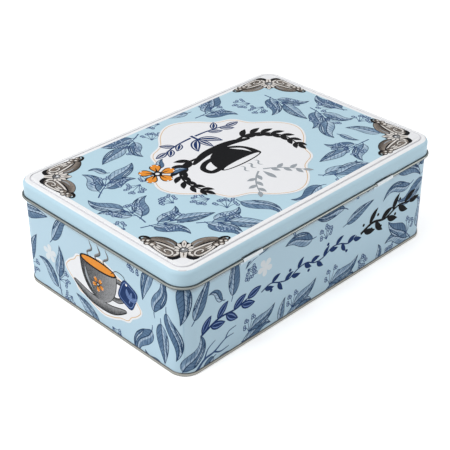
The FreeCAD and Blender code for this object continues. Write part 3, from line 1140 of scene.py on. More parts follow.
@dataclass(frozen=True)
class PaleBlossom:
    """A flower left as a pale silhouette on the blue."""

    centre: Point
    size: float
    turn: float = 0.0
    notch: float = 0.34

    def draw(self, sheet: InkSheet) -> None:
        """Draws the five-lobed silhouette.

        Args:
            sheet: The sheet it is drawn on.
        """
        def edge(angle: float) -> Point:
            """Finds the silhouette's edge.

            Args:
                angle: The angle in radians.

            Returns:
                The offset from the middle.
            """
            lobe = abs(math.cos(2.5 * (angle - math.radians(self.turn))))
            reach = self.size / 2 * (self.notch + (1 - self.notch) * lobe ** 0.6)
            return reach * math.cos(angle), reach * math.sin(angle)
        sheet.patch(self.centre, edge, Ink.PALE, 60)


@dataclass(frozen=True)
class InlineLeaf:
    """A bold leaf with a pale inline stroke, as a poster engraver cuts it."""

    root: Point
    heading: float
    length: float
    width: float
    bend: float = 25.0
    body: Ink = Ink.NAVY
    inline: Ink = Ink.WHITE

    def draw(self, sheet: InkSheet) -> None:
        """Draws the leaf, the pale line inside it and its core.

        Args:
            sheet: The sheet it is drawn on.
        """
        path = bow(self.root, self.heading, self.length, self.bend)
        inner = bow(polar(self.root, self.length * 0.1, self.heading), self.heading + self.bend * 0.1,
                    self.length * 0.8, self.bend * 0.8)
        for line, share, ink in ((path, 1, self.body), (inner, 0.62, self.inline), (inner, 0.36, self.body)):
            sheet.ribbon(line, swell(self.width * share, 0.45, 0.8), ink)


@dataclass(frozen=True)
class Spur:
    """One bold leaf of a bough: where along the stem, how far it leans off it, its form, and its berry.

    A berry is its distance from the leaf's root, its lean off the stem and its radius.
    """

    share: float
    lean: float
    length: float
    width: float
    bend: float
    peak: float = 0.45
    knots: int = 3
    berry: tuple[float, float, float] | None = None


@dataclass(frozen=True)
class Bough:
    """A stem that narrows between two widths, with bold leaves along it, plain or cut by an inline stroke."""

    stem: Path
    ink: Ink
    widths: Point
    spurs: Sequence[Spur]
    inline: Ink | None = None

    def draw(self, sheet: InkSheet) -> None:
        """Draws the stem, then its leaves and berries from the foot up.

        Args:
            sheet: The sheet it is drawn on.
        """
        sheet.ribbon(self.stem, taper(*self.widths), self.ink)
        for spur in self.spurs:
            root, ahead = tuple(self.stem.at(spur.share)[0]), self.stem.heading(spur.share)
            if self.inline:
                InlineLeaf(root, ahead + spur.lean, spur.length, spur.width, spur.bend, self.ink,
                           self.inline).draw(sheet)
            else:
                leaf = bow(root, ahead + spur.lean, spur.length, spur.bend, spur.knots)
                sheet.ribbon(leaf, swell(spur.width, spur.peak), self.ink)
            if spur.berry:
                reach, lean, radius = spur.berry
                sheet.dot(polar(root, reach, ahead + lean), radius, self.ink)


@dataclass(frozen=True)
class Plaque:
    """A white plaque with a scalloped edge and a thin gold line inside it.

    The waves are the edge's mean reach and the weights of its 4, 8, 12 and 16 scallops round.
    """

    reach: Point
    waves: tuple[float, ...]
    gold_inset: float
    sides: int
    centre: Point = (0.0, 0.0)

    GOLD_WIDTH = 0.5
    GOLD_STEP = 6

    def edge(self, angle: float, inset: float = 0.0) -> Point:
        """Finds a point of the edge.

        Args:
            angle: Its angle about the plaque's middle, in radians.
            inset: How far inside the edge it lies.

        Returns:
            The offset from the plaque's middle.
        """
        swing = sum(wave * math.cos(4 * index * angle) for index, wave in enumerate(self.waves))
        wide, tall = [swing / sum(self.waves) * reach - inset for reach in self.reach]
        return wide * math.cos(angle), tall * math.sin(angle)

    def draw(self, sheet: InkSheet) -> None:
        """Draws the white ground and the gold line.

        Args:
            sheet: The sheet it is drawn on.
        """
        sheet.patch(self.centre, self.edge, Ink.WHITE, self.sides)
        points = []
        for angle in range(0, 360, self.GOLD_STEP):
            offset = self.edge(math.radians(angle), self.gold_inset)
            points.append((self.centre[0] + offset[0], self.centre[1] + offset[1]))
        sheet.ribbon(Path(points, closed=True), even(self.GOLD_WIDTH), Ink.GOLD)


@dataclass(frozen=True)
class Shoot:
    """Two bold leaves and a bud on a short stem."""

    root: Point
    size: float
    heading: float = 90.0
    body: Ink = Ink.NAVY
    inline: Ink = Ink.WHITE

    def draw(self, sheet: InkSheet) -> None:
        """Draws the stem, a leaf to either side and the bud.

        Args:
            sheet: The sheet it is drawn on.
        """
        stem = bow(self.root, self.heading, self.size * 0.36, 0.0, 2)
        fork = tuple(stem.at(0.8)[0])
        sheet.ribbon(stem, taper(self.size * 0.1, self.size * 0.07), self.body)
        for lean, length, width, bend in ((-62, 0.78, 0.3, 42), (62, 0.78, 0.3, -42), (0, 0.66, 0.24, 6)):
            InlineLeaf(fork, self.heading + lean, self.size * length, self.size * width, bend, self.body,
                       self.inline).draw(sheet)


@dataclass(frozen=True)
class Cup:
    """A round teacup on its saucer, drawn from the side with its rim a little open."""

    foot: Point
    width: float
    fill: Ink = Ink.BLACK
    line: Ink = Ink.BLACK
    tea: Ink = Ink.WHITE
    shine: Ink = Ink.WHITE
    depth: float = 0.62
    rows: int = 6

    def draw(self, sheet: InkSheet) -> None:
        """Draws the saucer, the handle, the bowl, its rim and a line of light.

        Args:
            sheet: The sheet it is drawn on.
        """
        x, y = self.foot
        half, high = self.width / 2, self.width * self.depth
        top = y + high
        saucer = Path([(x + half * across, y + high * rise) for across, rise in (
            (-1.5, 0.16), (-0.7, -0.06), (0.0, -0.1), (0.7, -0.06), (1.5, 0.16))])
        sheet.outlined(saucer, swell(high * 0.24, 0.5, 0.6), self.fill, self.width * 0.02, self.line,
                       self.rows)
        ear = Path([(x + half * 0.9, top - high * 0.12), (x + half * 1.38, top - high * 0.14),
                    (x + half * 1.45, top - high * 0.45), (x + half * 1.1, y + high * 0.34),
                    (x + half * 0.66, y + high * 0.3)])
        sheet.outlined(ear, even(self.width * 0.075), self.fill, self.width * 0.018, self.line)
        body = Path([(x, top), (x, top - high / 2), (x, y)])
        sheet.outlined(body, bowl(self.width), self.fill, self.width * 0.018, self.line, self.rows)
        for wide, tall, ink in ((1.02, 0.16, self.line), (0.93, 0.11, self.tea)):
            sheet.patch((x, top), oval(half * wide, high * tall), ink, 40)
        light = Path([(x - half * 0.78, top - high * 0.2), (x - half * 0.68, top - high * 0.52),
                      (x - half * 0.36, y + high * 0.17)])
        sheet.ribbon(light, swell(self.width * 0.06), self.shine)


@dataclass(frozen=True)
class CornerScroll:
    """A traditional acanthus corner: a crown on the diagonal and a scrolled wing along each side.

    It is drawn by distances from the panel's corner, one along a side and one in from it.
    """

    corner: Point
    facing: Point

    def _spot(self, along: float, inward: float, swap: bool) -> Point:
        """Turns distances from the corner into a place on the panel.

        Args:
            along: The distance along the panel's side.
            inward: The distance in from that side.
            swap: Whether the side is the other one.

        Returns:
            The place.
        """
        if swap:
            along, inward = inward, along
        return (self.facing[0] * (self.corner[0] - along), self.facing[1] * (self.corner[1] - inward))

    def _path(self, spots: Sequence[Point], swap: bool) -> Path:
        """A path through places given as distances from the corner."""
        return Path([self._spot(along, inward, swap) for along, inward in spots])

    def draw_wing(self, sheet: InkSheet, swap: bool) -> None:
        """Draws one wing: dark ground, taupe band, ribs, volute, beads, crescent and curled tip.

        Args:
            sheet: The sheet it is drawn on.
            swap: Whether it lies along the other side.
        """
        ground = self._path([(10, 6.4), (17, 5.8), (26, 5.6), (34, 5.2), (38.0, 5.0)], swap)
        sheet.outlined(ground, lambda share: 4.5 - 2.6 * share ** 2, Ink.TAUPE, 0.35, rows=4)
        band = self._path([(15.5, 10.6), (20.5, 12.2), (26.5, 11.8), (31.5, 9.4), (35.5, 5.8)], swap)
        sheet.outlined(band, swell(5.6, 0.48, 0.55), Ink.TAUPE, 0.4, rows=4)
        gleam = self._path([(17.5, 11.6), (22.5, 12.6), (27.5, 11.8)], swap)
        sheet.ribbon(gleam, swell(0.9), Ink.GREY)
        fold = self._path([(16.5, 9.4), (23, 9.3), (29, 7.8), (34, 5.4)], swap)
        sheet.ribbon(fold, swell(1.8), Ink.BLACK)
        rib = self._path([(30.5, 6.4), (25.5, 8), (20.5, 8.9), (15.8, 9.4), (12.4, 7.8), (12.6, 4.8)], swap)
        sheet.outlined(rib, taper(1.0, 1.5), Ink.IVORY, 0.36)
        volute = self._path([(29, 4.2), (24.5, 2.6), (19, 2.1), (14.8, 2.7), (14.0, 5.2), (16.4, 7.0),
                             (19.8, 6.4), (20.3, 4.8), (18.4, 4.3)], swap)
        sheet.outlined(volute, taper(1.5, 0.8), Ink.IVORY, 0.38)
        for spots in (((27.8, 5.9), (24.6, 5.4), (22.2, 6.0)), ((26.8, 4.6), (24.2, 4.0), (21.8, 4.2))):
            sheet.outlined(self._path(spots, swap), swell(1.2), Ink.IVORY, 0.3)
        crescent = self._path([(14.4, 1.2), (11.0, 2.6), (9.7, 5.4), (10.3, 9.0)], swap)
        sheet.ribbon(crescent, swell(2.8, 0.5, 0.6), Ink.BLACK)
        for index in range(9):
            sheet.dot(self._spot(15.2 + 1.5 * index, 0.95 + 0.1 * index, swap), 0.42, Ink.BLACK, 8)
        for along, inward, size in ((29.8, 4.4, 2.1), (32.4, 2.9, 1.7), (34.2, 5.2, 1.5), (36.2, 3.4, 1.3)):
            sheet.dot(self._spot(along, inward, swap), size + 0.38, Ink.BLACK)
            sheet.dot(self._spot(along, inward, swap), size, Ink.TAUPE)
            sheet.dot(self._spot(along - size * 0.25, inward - size * 0.3, swap), size * 0.55, Ink.IVORY, 8)
        hook = self._path([(34.2, 7.0), (37.4, 6.8), (39.6, 5.0), (39.0, 3.0), (37.6, 3.2)], swap)
        sheet.ribbon(hook, taper(2.0, 1.2), Ink.BLACK)

    def draw_crown(self, sheet: InkSheet) -> None:
        """Draws the crown: petals that open towards the panel's middle, a boss, and a shell at the corner.

        Args:
            sheet: The sheet it is drawn on.
        """
        boss = self._spot(12.6, 12.6, False)
        inward = math.degrees(math.atan2(-self.facing[1], -self.facing[0]))
        shell = self._path([(7.2, 7.2), (9.4, 9.4), (12.6, 12.6)], False)
        sheet.outlined(shell, lambda share: 1.5 + 0.9 * share, Ink.IVORY, 0.5)
        sheet.ribbon(self._path([(7.6, 7.6), (11.0, 11.0)], False), swell(0.9, 0.6), Ink.TAUPE)
        back = bow(boss, inward, 8.6, 0.0, 3)
        sheet.ribbon(back, swell(10.4, 0.36, 0.6), Ink.BLACK)
        for lean, reach, width in ((-88, 5.6, 2.1), (88, 5.6, 2.1), (-55, 6.6, 2.1), (55, 6.6, 2.1),
                                   (-28, 7.6, 2.1), (28, 7.6, 2.1), (0, 9.6, 2.6)):
            petal = bow(boss, inward + lean, reach, lean * 0.15, 3)
            sheet.outlined(petal, swell(width, 0.66, 0.6), Ink.IVORY, 0.42)
        core = bow(polar(boss, 4.2, inward), inward, 3.4, 0.0, 2)
        sheet.ribbon(core, swell(0.9), Ink.TAUPE)
        sheet.dot(boss, 2.7, Ink.BLACK, 20)
        sheet.dot(boss, 2.25, Ink.STONE, 20)
        sheet.dot(polar(boss, 0.7, inward + 40), 0.8, Ink.WHITE)

    def draw_corner_ground(self, sheet: InkSheet) -> None:
        """Draws the white ground that the field leaves free in the corner.

        Args:
            sheet: The sheet it is drawn on.
        """
        start, reach = 2.3, 12.0
        diagonal = Path([self._spot(start, start, False), self._spot(start + reach, start + reach, False)])
        sheet.ribbon(diagonal, lambda share: share * reach * math.sqrt(2) + 0.3, Ink.WHITE)

    def draw(self, sheet: InkSheet) -> None:
        """Draws the ground, both wings, then the crown between them.

        Args:
            sheet: The sheet it is drawn on.
        """
        self.draw_corner_ground(sheet)
        for swap in (False, True):
            self.draw_wing(sheet, swap)
        self.draw_crown(sheet)


# ---------------------------------------------------------------- print of both surfaces

@dataclass(frozen=True)
class Sowing:
    """One kind of plant, how often it is tried, and what each of its measures is drawn from.

    The measures follow the plant's own fields after its root. A pair of numbers is a range, a list is a
    choice, and anything else is taken as it is.
    """

    kind: type
    tries: int
    measures: tuple

    @staticmethod
    def _drawn(dice: random.Random, given: list | tuple | float | Tip) -> float | Tip:
        """Draws one measure.

        Args:
            dice: The source of chance.
            given: The measure, its range, or a list of these to choose from.

        Returns:
            The measure.
        """
        if isinstance(given, list):
            given = dice.choice(given)
        return dice.uniform(*given) if isinstance(given, tuple) else given

    def seedling(self, dice: random.Random, root: Point) -> Leaf | Umbel | Sprig:
        """Draws one plant's measures in order and makes it at its root."""
        return self.kind(root, *[self._drawn(dice, given) for given in self.measures])


@dataclass
class Thicket:
    """Fills areas with plants that keep clear of each other, the same way each time."""

    allowed: Callable[[float, float], bool]
    seed: int
    gap: float = 1.1
    period: float = 0.0
    taken: list[Circle] = field(default_factory=list)

    def _clear(self, circle: Circle) -> bool:
        """Tells whether a circle lies on allowed ground and off what has grown.

        Args:
            circle: Its middle and its radius.

        Returns:
            Whether it is clear.
        """
        x, y, radius = circle
        if not self.allowed(x, y):
            return False
        for other_x, other_y, other_radius in self.taken:
            across = abs(x - other_x)
            if self.period:
                across = min(across % self.period, self.period - across % self.period)
            if math.hypot(across, y - other_y) < radius + other_radius + self.gap:
                return False
        return True

    def grow(self, sheet: InkSheet, shifts: Sequence[float], area: Area, sowing: Sowing) -> None:
        """Tries plants at random places and draws those that fit.

        Args:
            sheet: The sheet to draw on.
            shifts: How far along the sheet each drawing of a plant is moved.
            area: The area's first and last place along the sheet, and its lowest and highest.
            sowing: What is sown.
        """
        dice = random.Random(self.seed)
        self.seed += 1
        count = 0
        west, east, south, north = area
        for _ in range(sowing.tries):
            seedling = sowing.seedling(dice, (dice.uniform(west, east), dice.uniform(south, north)))
            cover = seedling.cover()
            if all(self._clear(circle) for circle in cover):
                self.taken += cover
                count += 1
                for shift in shifts:
                    replace(seedling, root=(seedling.root[0] + shift, seedling.root[1])).draw(sheet)
        LOG.info("%s: %d times %s", sheet.name, count, sowing.kind.__name__)


def print_sheets(surface: Panel | Wall,
                 drawings: Sequence[tuple[str, Callable[[InkSheet], None]]]) -> None:
    """Draws one ink sheet after another and lays it on a surface.

    Args:
        surface: What is printed on.
        drawings: For each sheet, the name of its piece and what draws it.
    """
    press = Press()
    for name, draw in drawings:
        sheet = InkSheet(name, press)
        draw(sheet)
        sheet.lay(surface)


# A plant may head any way, and its first leaf may stand to either side.
ANY_WAY = (0, 360)
EITHER_SIDE = [-1, 1]


# ---------------------------------------------------------------- lid print

@dataclass
class LidPrint:
    """The print of the lid's panel: a blue field with leaves, a white plaque and four corner scrolls."""

    panel: Panel
    half_length: float = 105.6
    half_width: float = 67.4
    corner: Point = (107.9, 70.1)
    scroll_reach: float = 43.0
    scroll_depth: float = 16.0
    crown_reach: float = 25.0
    plaque: Plaque = Plaque((61.3, 60.0), (53.6, 5.1, 2.1, -0.7, 0.34), 1.7, 160)
    blossom: Blossom = Blossom((49.0, -16.0), 23.0)
    leaf_gap: float = 2.5
    overgrowth: float = 5.0
    seed: int = 7

    def leafy(self, x: float, y: float) -> bool:
        """Tells whether leaves may grow at a place.

        Args:
            x: The place along the panel.
            y: The place across it.

        Returns:
            Whether it lies off the plaque and the scrolls, and not far past the field's edge.
        """
        if math.hypot(x, y) < math.hypot(*self.plaque.edge(math.atan2(y, x))) + self.leaf_gap:
            return False
        along, across = self.corner[0] - abs(x), self.corner[1] - abs(y)
        near, far = min(along, across), max(along, across)
        if near < self.scroll_depth and far < self.scroll_reach or far < self.crown_reach:
            return False
        return abs(x) < self.half_length + self.overgrowth and abs(y) < self.half_width + self.overgrowth

    def draw_field(self, sheet: InkSheet) -> None:
        """Draws the blue field that the white border frames."""
        sheet.ribbon(Path([(-self.half_length, 0.0), (self.half_length, 0.0)]), even(2 * self.half_width),
                     Ink.FIELD, step=self.half_length)

    def draw_leaves(self, sheet: InkSheet) -> None:
        """Draws the sprigs and leaves that fill the field round the plaque, cut off at the field's edge.

        Args:
            sheet: The sheet they are drawn on.
        """
        area = (-self.half_length, self.half_length, -self.half_width, self.half_width)
        thicket = Thicket(self.leafy, self.seed)
        for sowing in (
            # heading, length, bend, leaves, leaf length, leaf width, tip, tone, first side, umbels
            Sowing(Sprig, 1600, (ANY_WAY, (19, 25), (-35, 35), 2, (24, 28), (9, 11), Tip.LEAF, (0.0, 0.4),
                                 EITHER_SIDE, 2)),
            Sowing(Sprig, 900, (ANY_WAY, (10, 15), (-40, 40), 1, (26, 31), (10, 12.5), Tip.LEAF, (0.0, 0.45),
                                EITHER_SIDE, 1)),
            Sowing(Sprig, 900, (ANY_WAY, (8, 13), (-40, 40), 1, (24, 29), (9.5, 12), list(Tip), (0.0, 0.4),
                                EITHER_SIDE)),
            # heading, length, width, bend, tone of a leaf; heading and size of an umbel
            Sowing(Leaf, 900, (ANY_WAY, (24, 31), (8, 11.5), (-50, 50), (0.0, 0.55))),
            Sowing(Umbel, 700, (ANY_WAY, (8.5, 11.5))),
            Sowing(Leaf, 400, (ANY_WAY, (14, 19), (4.5, 6.5), (-45, 45), (0.0, 0.4))),
        ):
            thicket.grow(sheet, (0.0,), area, sowing)
        for outward in ((1, 0), (-1, 0), (0, 1), (0, -1)):
            sheet.trim((outward[0] * self.half_length, outward[1] * self.half_width), outward)

    def draw_side(self, sheet: InkSheet, side: int) -> None:
        """Draws what stands to one side of the cup: a black laurel branch, a navy spray and a grey twig.

        Args:
            sheet: The sheet they are drawn on.
            side: 1 to the right, -1 to the left.
        """
        laurel = Path([(side * 18, -13), (side * 29, -13), (side * 39, -6), (side * 44, 6), (side * 42, 19)])
        leaves = [Spur(0.1 + 0.14 * index, lean, 11.5 - 0.5 * index, 4.4 - 0.15 * index, -lean * 0.6, 0.48)
                  for index in range(7) for lean in (42, -42)]
        Bough(laurel, Ink.BLACK, (2.2, 1.0), [*leaves, Spur(1.0, 0.0, 8.5, 3.6, 0.0)]).draw(sheet)
        spray = [Spur(share, lean * side, 10.5, 5.2, -20.0 * side)
                 for share, lean in ((0.42, 42), (0.6, -44), (0.8, 42), (1.0, 4))]
        Bough(bow((side * 2, -36.0), 90 - 90 * side, 25, 16 * side), Ink.NAVY, (1.7, 0.9), spray,
              Ink.WHITE).draw(sheet)
        twig = [Spur(share, lean * side, 7.0, 3.2, -15.0 * side)
                for share, lean in ((0.2, 45), (0.36, -45), (0.52, 45), (0.68, -45), (0.84, 45), (1.0, 0))]
        Bough(bow((side * 2, 25.5), 90 - 62 * side, 25, 34 * side), Ink.GREY, (1.3, 0.7), twig).draw(sheet)

    def draw_picture(self, sheet: InkSheet) -> None:
        """Draws the plaque's picture: a bold cup between branches, a tea shoot below and a grey twig above.

        Args:
            sheet: The sheet it is drawn on.
        """
        Cup((0.0, -12.0), 34.0).draw(sheet)
        for shift, width in ((-6.0, 1.2), (0.0, 1.5), (6.0, 1.2)):
            wisp = Path([(shift, 13.5), (shift - 1.6, 16.0), (shift + 1.2, 19.0), (shift - 0.4, 22.0)])
            sheet.ribbon(wisp, swell(width), Ink.GREY)
        Shoot((0, -38), 22.0).draw(sheet)
        bud = bow((0, 27), 90, 12, 0.0, 3)
        sheet.ribbon(bud, swell(3.6, 0.6, 0.8), Ink.GREY)
        for side in (-1, 1):
            self.draw_side(sheet, side)

    def draw_blossom(self, sheet: InkSheet) -> None:
        """Draws the one bright flower at the plaque's side, on two leaves.

        Args:
            sheet: The sheet it is drawn on.
        """
        for lean in (150.0, 215.0):
            Leaf(polar(self.blossom.centre, 7, lean), lean, 13, 5.5, 20.0, -0.2).draw(sheet)
        self.blossom.draw(sheet)

    def make(self) -> None:
        """Prints everything on the panel, each corner's scroll as a piece of its own."""
        corners = {"near_right": (1, 1), "near_left": (1, -1), "far_right": (-1, 1), "far_left": (-1, -1)}
        print_sheets(self.panel, [
            ("lid_print_field", self.draw_field), ("lid_print_leaves", self.draw_leaves),
            ("lid_print_plaque", self.plaque.draw), ("lid_print_plaque_picture", self.draw_picture),
            ("lid_print_blossom", self.draw_blossom),
            *[(f"lid_print_corner_{name}", CornerScroll(self.corner, facing).draw)
              for name, facing in corners.items()]])


# ---------------------------------------------------------------- can print

@dataclass
class CanPrint:
    """The print of the can's wall, the same on either half of the way round.

    Each half has an end plaque with a picture, a garland on the long face, and leaves from the seam up and
    from the lid down.
    """

    wall: Wall
    seam_top: float
    plaque: Plaque = Plaque((36.0, 20.5), (53.6, 2.6, 1.6, -0.5, 0.5), 1.5, 120, (4.0, 30.0))
    leaf_gap: float = 3.0
    steam_reach: float = 24.0
    flower_gap: float = 3.0
    overgrowth: Point = (6.0, 7.0)
    garland_rows: Point = (21.5, 41.5)
    garland_ends: Point = (98.0, -96.0)
    spray_from: float = 99.0
    vine_from: float = 50.0
    branch_from: float = -42.0
    branch_margin: float = 5.0
    twig_foot: float = 104.0
    corner_until: float = 72.0
    seed: int = 23

    @property
    def shifts(self) -> Point:
        """How far round each half of the print lies."""
        return 0.0, self.wall.half_round

    def leafy(self, along: float, height: float) -> bool:
        """Tells whether leaves may grow at a place.

        Args:
            along: The distance round the wall.
            height: The height on the unrolled wall.

        Returns:
            Whether it lies off the plaque, the garland and the pale flowers.
        """
        (middle, level), (reach, rise) = self.plaque.centre, self.plaque.reach
        wide, tall = (along - middle) / (reach + self.leaf_gap), (height - level) / (rise + self.leaf_gap)
        if wide ** 2 + tall ** 2 < 1 or (abs(along - middle) < self.steam_reach and height > level):
            return False
        low, high = self.garland_rows
        if along > self.wall.at_x(self.branch_from):
            low, high = low - self.branch_margin, high + self.branch_margin
        start, end = self.garland_ends
        if self.wall.at_x(start) < along < self.wall.at_x(end) and low < height < high:
            return False
        if any(math.hypot(along - x, height - z) < size / 2 + self.flower_gap
               for x, z, size in self.pale_flowers()):
            return False
        return self.seam_top - self.overgrowth[0] < height < self.wall.lip + self.overgrowth[1]

    def pale_flowers(self) -> list[Circle]:
        """Where the pale flowers are, and how large."""
        return [(-47.0, 30.6, 13.0), (self.wall.at_x(47), 47.5, 12.5)]

    def draw_leaves(self, sheet: InkSheet) -> None:
        """Draws the wall's sprigs and leaves, cut off at the seam and under the lid.

        Args:
            sheet: The sheet they are drawn on.
        """
        west = -self.wall.half_round / 4
        area = (west, west + self.wall.half_round, self.seam_top - 5, self.wall.lip + 6)
        rising = (*area[:3], self.seam_top + 4)
        hanging = (*area[:2], self.wall.lip - 2, area[3])
        corner = (self.plaque.reach[0] + 8, self.wall.at_x(self.corner_until), *area[2:])
        thicket = Thicket(self.leafy, self.seed, 0.7, self.wall.half_round)
        self.draw_branch(sheet, thicket)
        for ground, sowing in (
            # heading, length, width, bend, tone of a leaf; heading and size of an umbel
            (corner, Sowing(Leaf, 700, ([(55, 105), (240, 290)], (27, 36), (8.5, 11), (-45, 45),
                                        (-0.4, 0.1)))),
            (corner, Sowing(Leaf, 500, (ANY_WAY, (14, 20), (5, 7), (-45, 45), (-0.4, 0.1)))),
            # heading, length, bend, leaves, leaf length, leaf width, tip, tone, first side, umbels
            (rising, Sowing(Sprig, 500, ((50, 130), (9, 14), (-35, 35), 1, (22, 30), (8, 10.5), Tip.LEAF,
                                         (-0.1, 0.15), EITHER_SIDE, 1))),
            (area, Sowing(Leaf, 600, (ANY_WAY, (26, 34), (7.5, 10.5), (-40, 40), (-0.1, 0.2)))),
            (hanging, Sowing(Leaf, 90, ((235, 305), (15, 24), (6, 9), (-30, 30), (-0.1, 0.2)))),
            (area, Sowing(Umbel, 200, (ANY_WAY, (7, 10)))),
            (rising, Sowing(Leaf, 160, ((60, 120), (14, 22), (5, 7.5), (-40, 40), (0.0, 0.35)))),
        ):
            thicket.grow(sheet, self.shifts, ground, sowing)
        sheet.trim((0, self.seam_top), (0, -1))
        sheet.trim((0, self.wall.lip), (0, 1))

    def draw_branch(self, sheet: InkSheet, thicket: Thicket) -> None:
        """Draws the dark twisted branch that rises from the seam beside the corner.

        Args:
            sheet: The sheet it is drawn on.
            thicket: The plants that it has to keep clear.
        """
        foot = self.wall.at_x(self.twig_foot)
        for spots, width in ((((0, 1), (7, 7), (15, 8.5), (24, 13), (31, 13.5)), 2.3),
                             (((7, 7), (10, 13), (16, 16.5)), 1.4), (((15, 8.5), (20, 6), (27, 6.5)), 1.3),
                             (((24, 13), (27, 17), (33, 18)), 1.1)):
            for shift in self.shifts:
                twig = Path([(foot + shift + x, z) for x, z in spots])
                sheet.ribbon(twig, taper(width, 0.5), Ink.BLUE_LINE)
            thicket.taken += [(foot + x, z, 0.8) for x, z in spots]

    def draw_pale_flowers(self, sheet: InkSheet) -> None:
        """Draws the pale silhouettes on both halves.

        Args:
            sheet: The sheet they are drawn on.
        """
        for shift in self.shifts:
            for index, (along, height, size) in enumerate(self.pale_flowers()):
                PaleBlossom((along + shift, height), size, 18.0 + 30 * index).draw(sheet)

    def draw_picture(self, sheet: InkSheet, middle: float) -> None:
        """Draws the steaming stippled cup with its blank tag and a flower on the bowl.

        Args:
            sheet: The sheet it is drawn on.
            middle: How far round the wall the plaque's middle lies.
        """
        x = middle - 3
        for shift, width in ((-7.0, 1.5), (0.5, 2.0), (8.0, 1.5)):
            foot = x + shift
            wisp = Path([(foot, 46), (foot - 2.6, 50), (foot + 2.0, 54), (foot - 0.6, 59.5)])
            sheet.ribbon(wisp, swell(width), Ink.STONE)
        Cup((x, 19.5), 33.0, Ink.STONE, Ink.BLACK, Ink.ORANGE, Ink.GREY, 0.76).draw(sheet)
        Blossom((x - 1, 30.5), 10.5, turn=50.0).draw(sheet)
        string = Path([(x + 12, 44.5), (x + 17, 48.5), (x + 23, 48), (x + 25.5, 44.5)])
        sheet.ribbon(string, even(0.5), Ink.BLACK)
        for half, ink in ((8.6, Ink.NAVY), (7.4, Ink.INLINE), (6.9, Ink.NAVY)):
            sheet.patch((x + 26.5, 36.5), rounded_tag(half, half * 0.86, -24.0), ink, 48)
        sheet.dot((x + 25.6, 43.2), 0.8, Ink.WHITE)
        Shoot((x + 27.6, 31.5), 9.5, 72.0, Ink.INLINE, Ink.NAVY).draw(sheet)

    def draw_garland(self, sheet: InkSheet, shift: float) -> None:
        """Draws a long face's garland: a navy spray, a wavy vine of small leaves, then a black branch.

        Args:
            sheet: The sheet it is drawn on.
            shift: How far round its half of the print lies.
        """
        start = self.wall.at_x(self.spray_from) + shift
        stem = Path([(start, 25.5), (start + 14, 30.5), (start + 28, 30), (start + 37, 32.5)])
        spray = [Spur(share, lean, 12.5, 5.8, -lean * 0.5) for share, lean in (
            (0.02, 44), (0.2, -46), (0.36, 46), (0.54, -46), (0.7, 46), (0.86, -44), (1.0, 0))]
        Bough(stem, Ink.NAVY, (1.8, 1.0), spray, Ink.INLINE).draw(sheet)
        start = self.wall.at_x(self.vine_from) + shift
        stem = Path([(start + 8.0 * index, 31 + 2.4 * math.sin(index * 1.7)) for index in range(12)])
        vine = [Spur((index + 0.5) / 15, side * 52, 8.6, 3.5, -side * 30.0, 0.42,
                     berry=(5.2, -side * 80, 1.2) if index % 3 == 1 else None)
                for index, side in zip(range(15), (-1, 1) * 8)]
        Bough(stem, Ink.NAVY, (0.9, 0.9), vine).draw(sheet)
        start = self.wall.at_x(self.branch_from) + shift
        stem = Path([(start, 30), (start + 12, 33.5), (start + 25, 31), (start + 38, 35), (start + 50, 33.5)])
        branch = [Spur(0.06 + 0.12 * index, side * 55, 13.0, 4.6, -side * 34.0, knots=4,
                       berry=(4.6, -side * 75, 1.15)) for index, side in zip(range(8), (-1, 1) * 4)]
        Bough(stem, Ink.BLACK, (2.2, 1.2), [*branch, Spur(1.0, 0.0, 11.0, 4.2, 24.0)]).draw(sheet)

    def make(self) -> None:
        """Prints everything on the wall, each end's plaque and picture and each face's garland as its own."""
        (middle, level), ends = self.plaque.centre, []
        for name, shift in zip(("right", "left"), self.shifts):
            ends += [(f"can_print_plaque_{name}", replace(self.plaque, centre=(middle + shift, level)).draw),
                     (f"can_print_picture_{name}", partial(self.draw_picture, middle=middle + shift))]
        print_sheets(self.wall, [
            ("can_print_leaves", self.draw_leaves), ("can_print_pale_flowers", self.draw_pale_flowers), *ends,
            *[(f"can_print_garland_{name}", partial(self.draw_garland, shift=shift))
              for name, shift in zip(("back", "front"), self.shifts)]])


# ---------------------------------------------------------------- studio

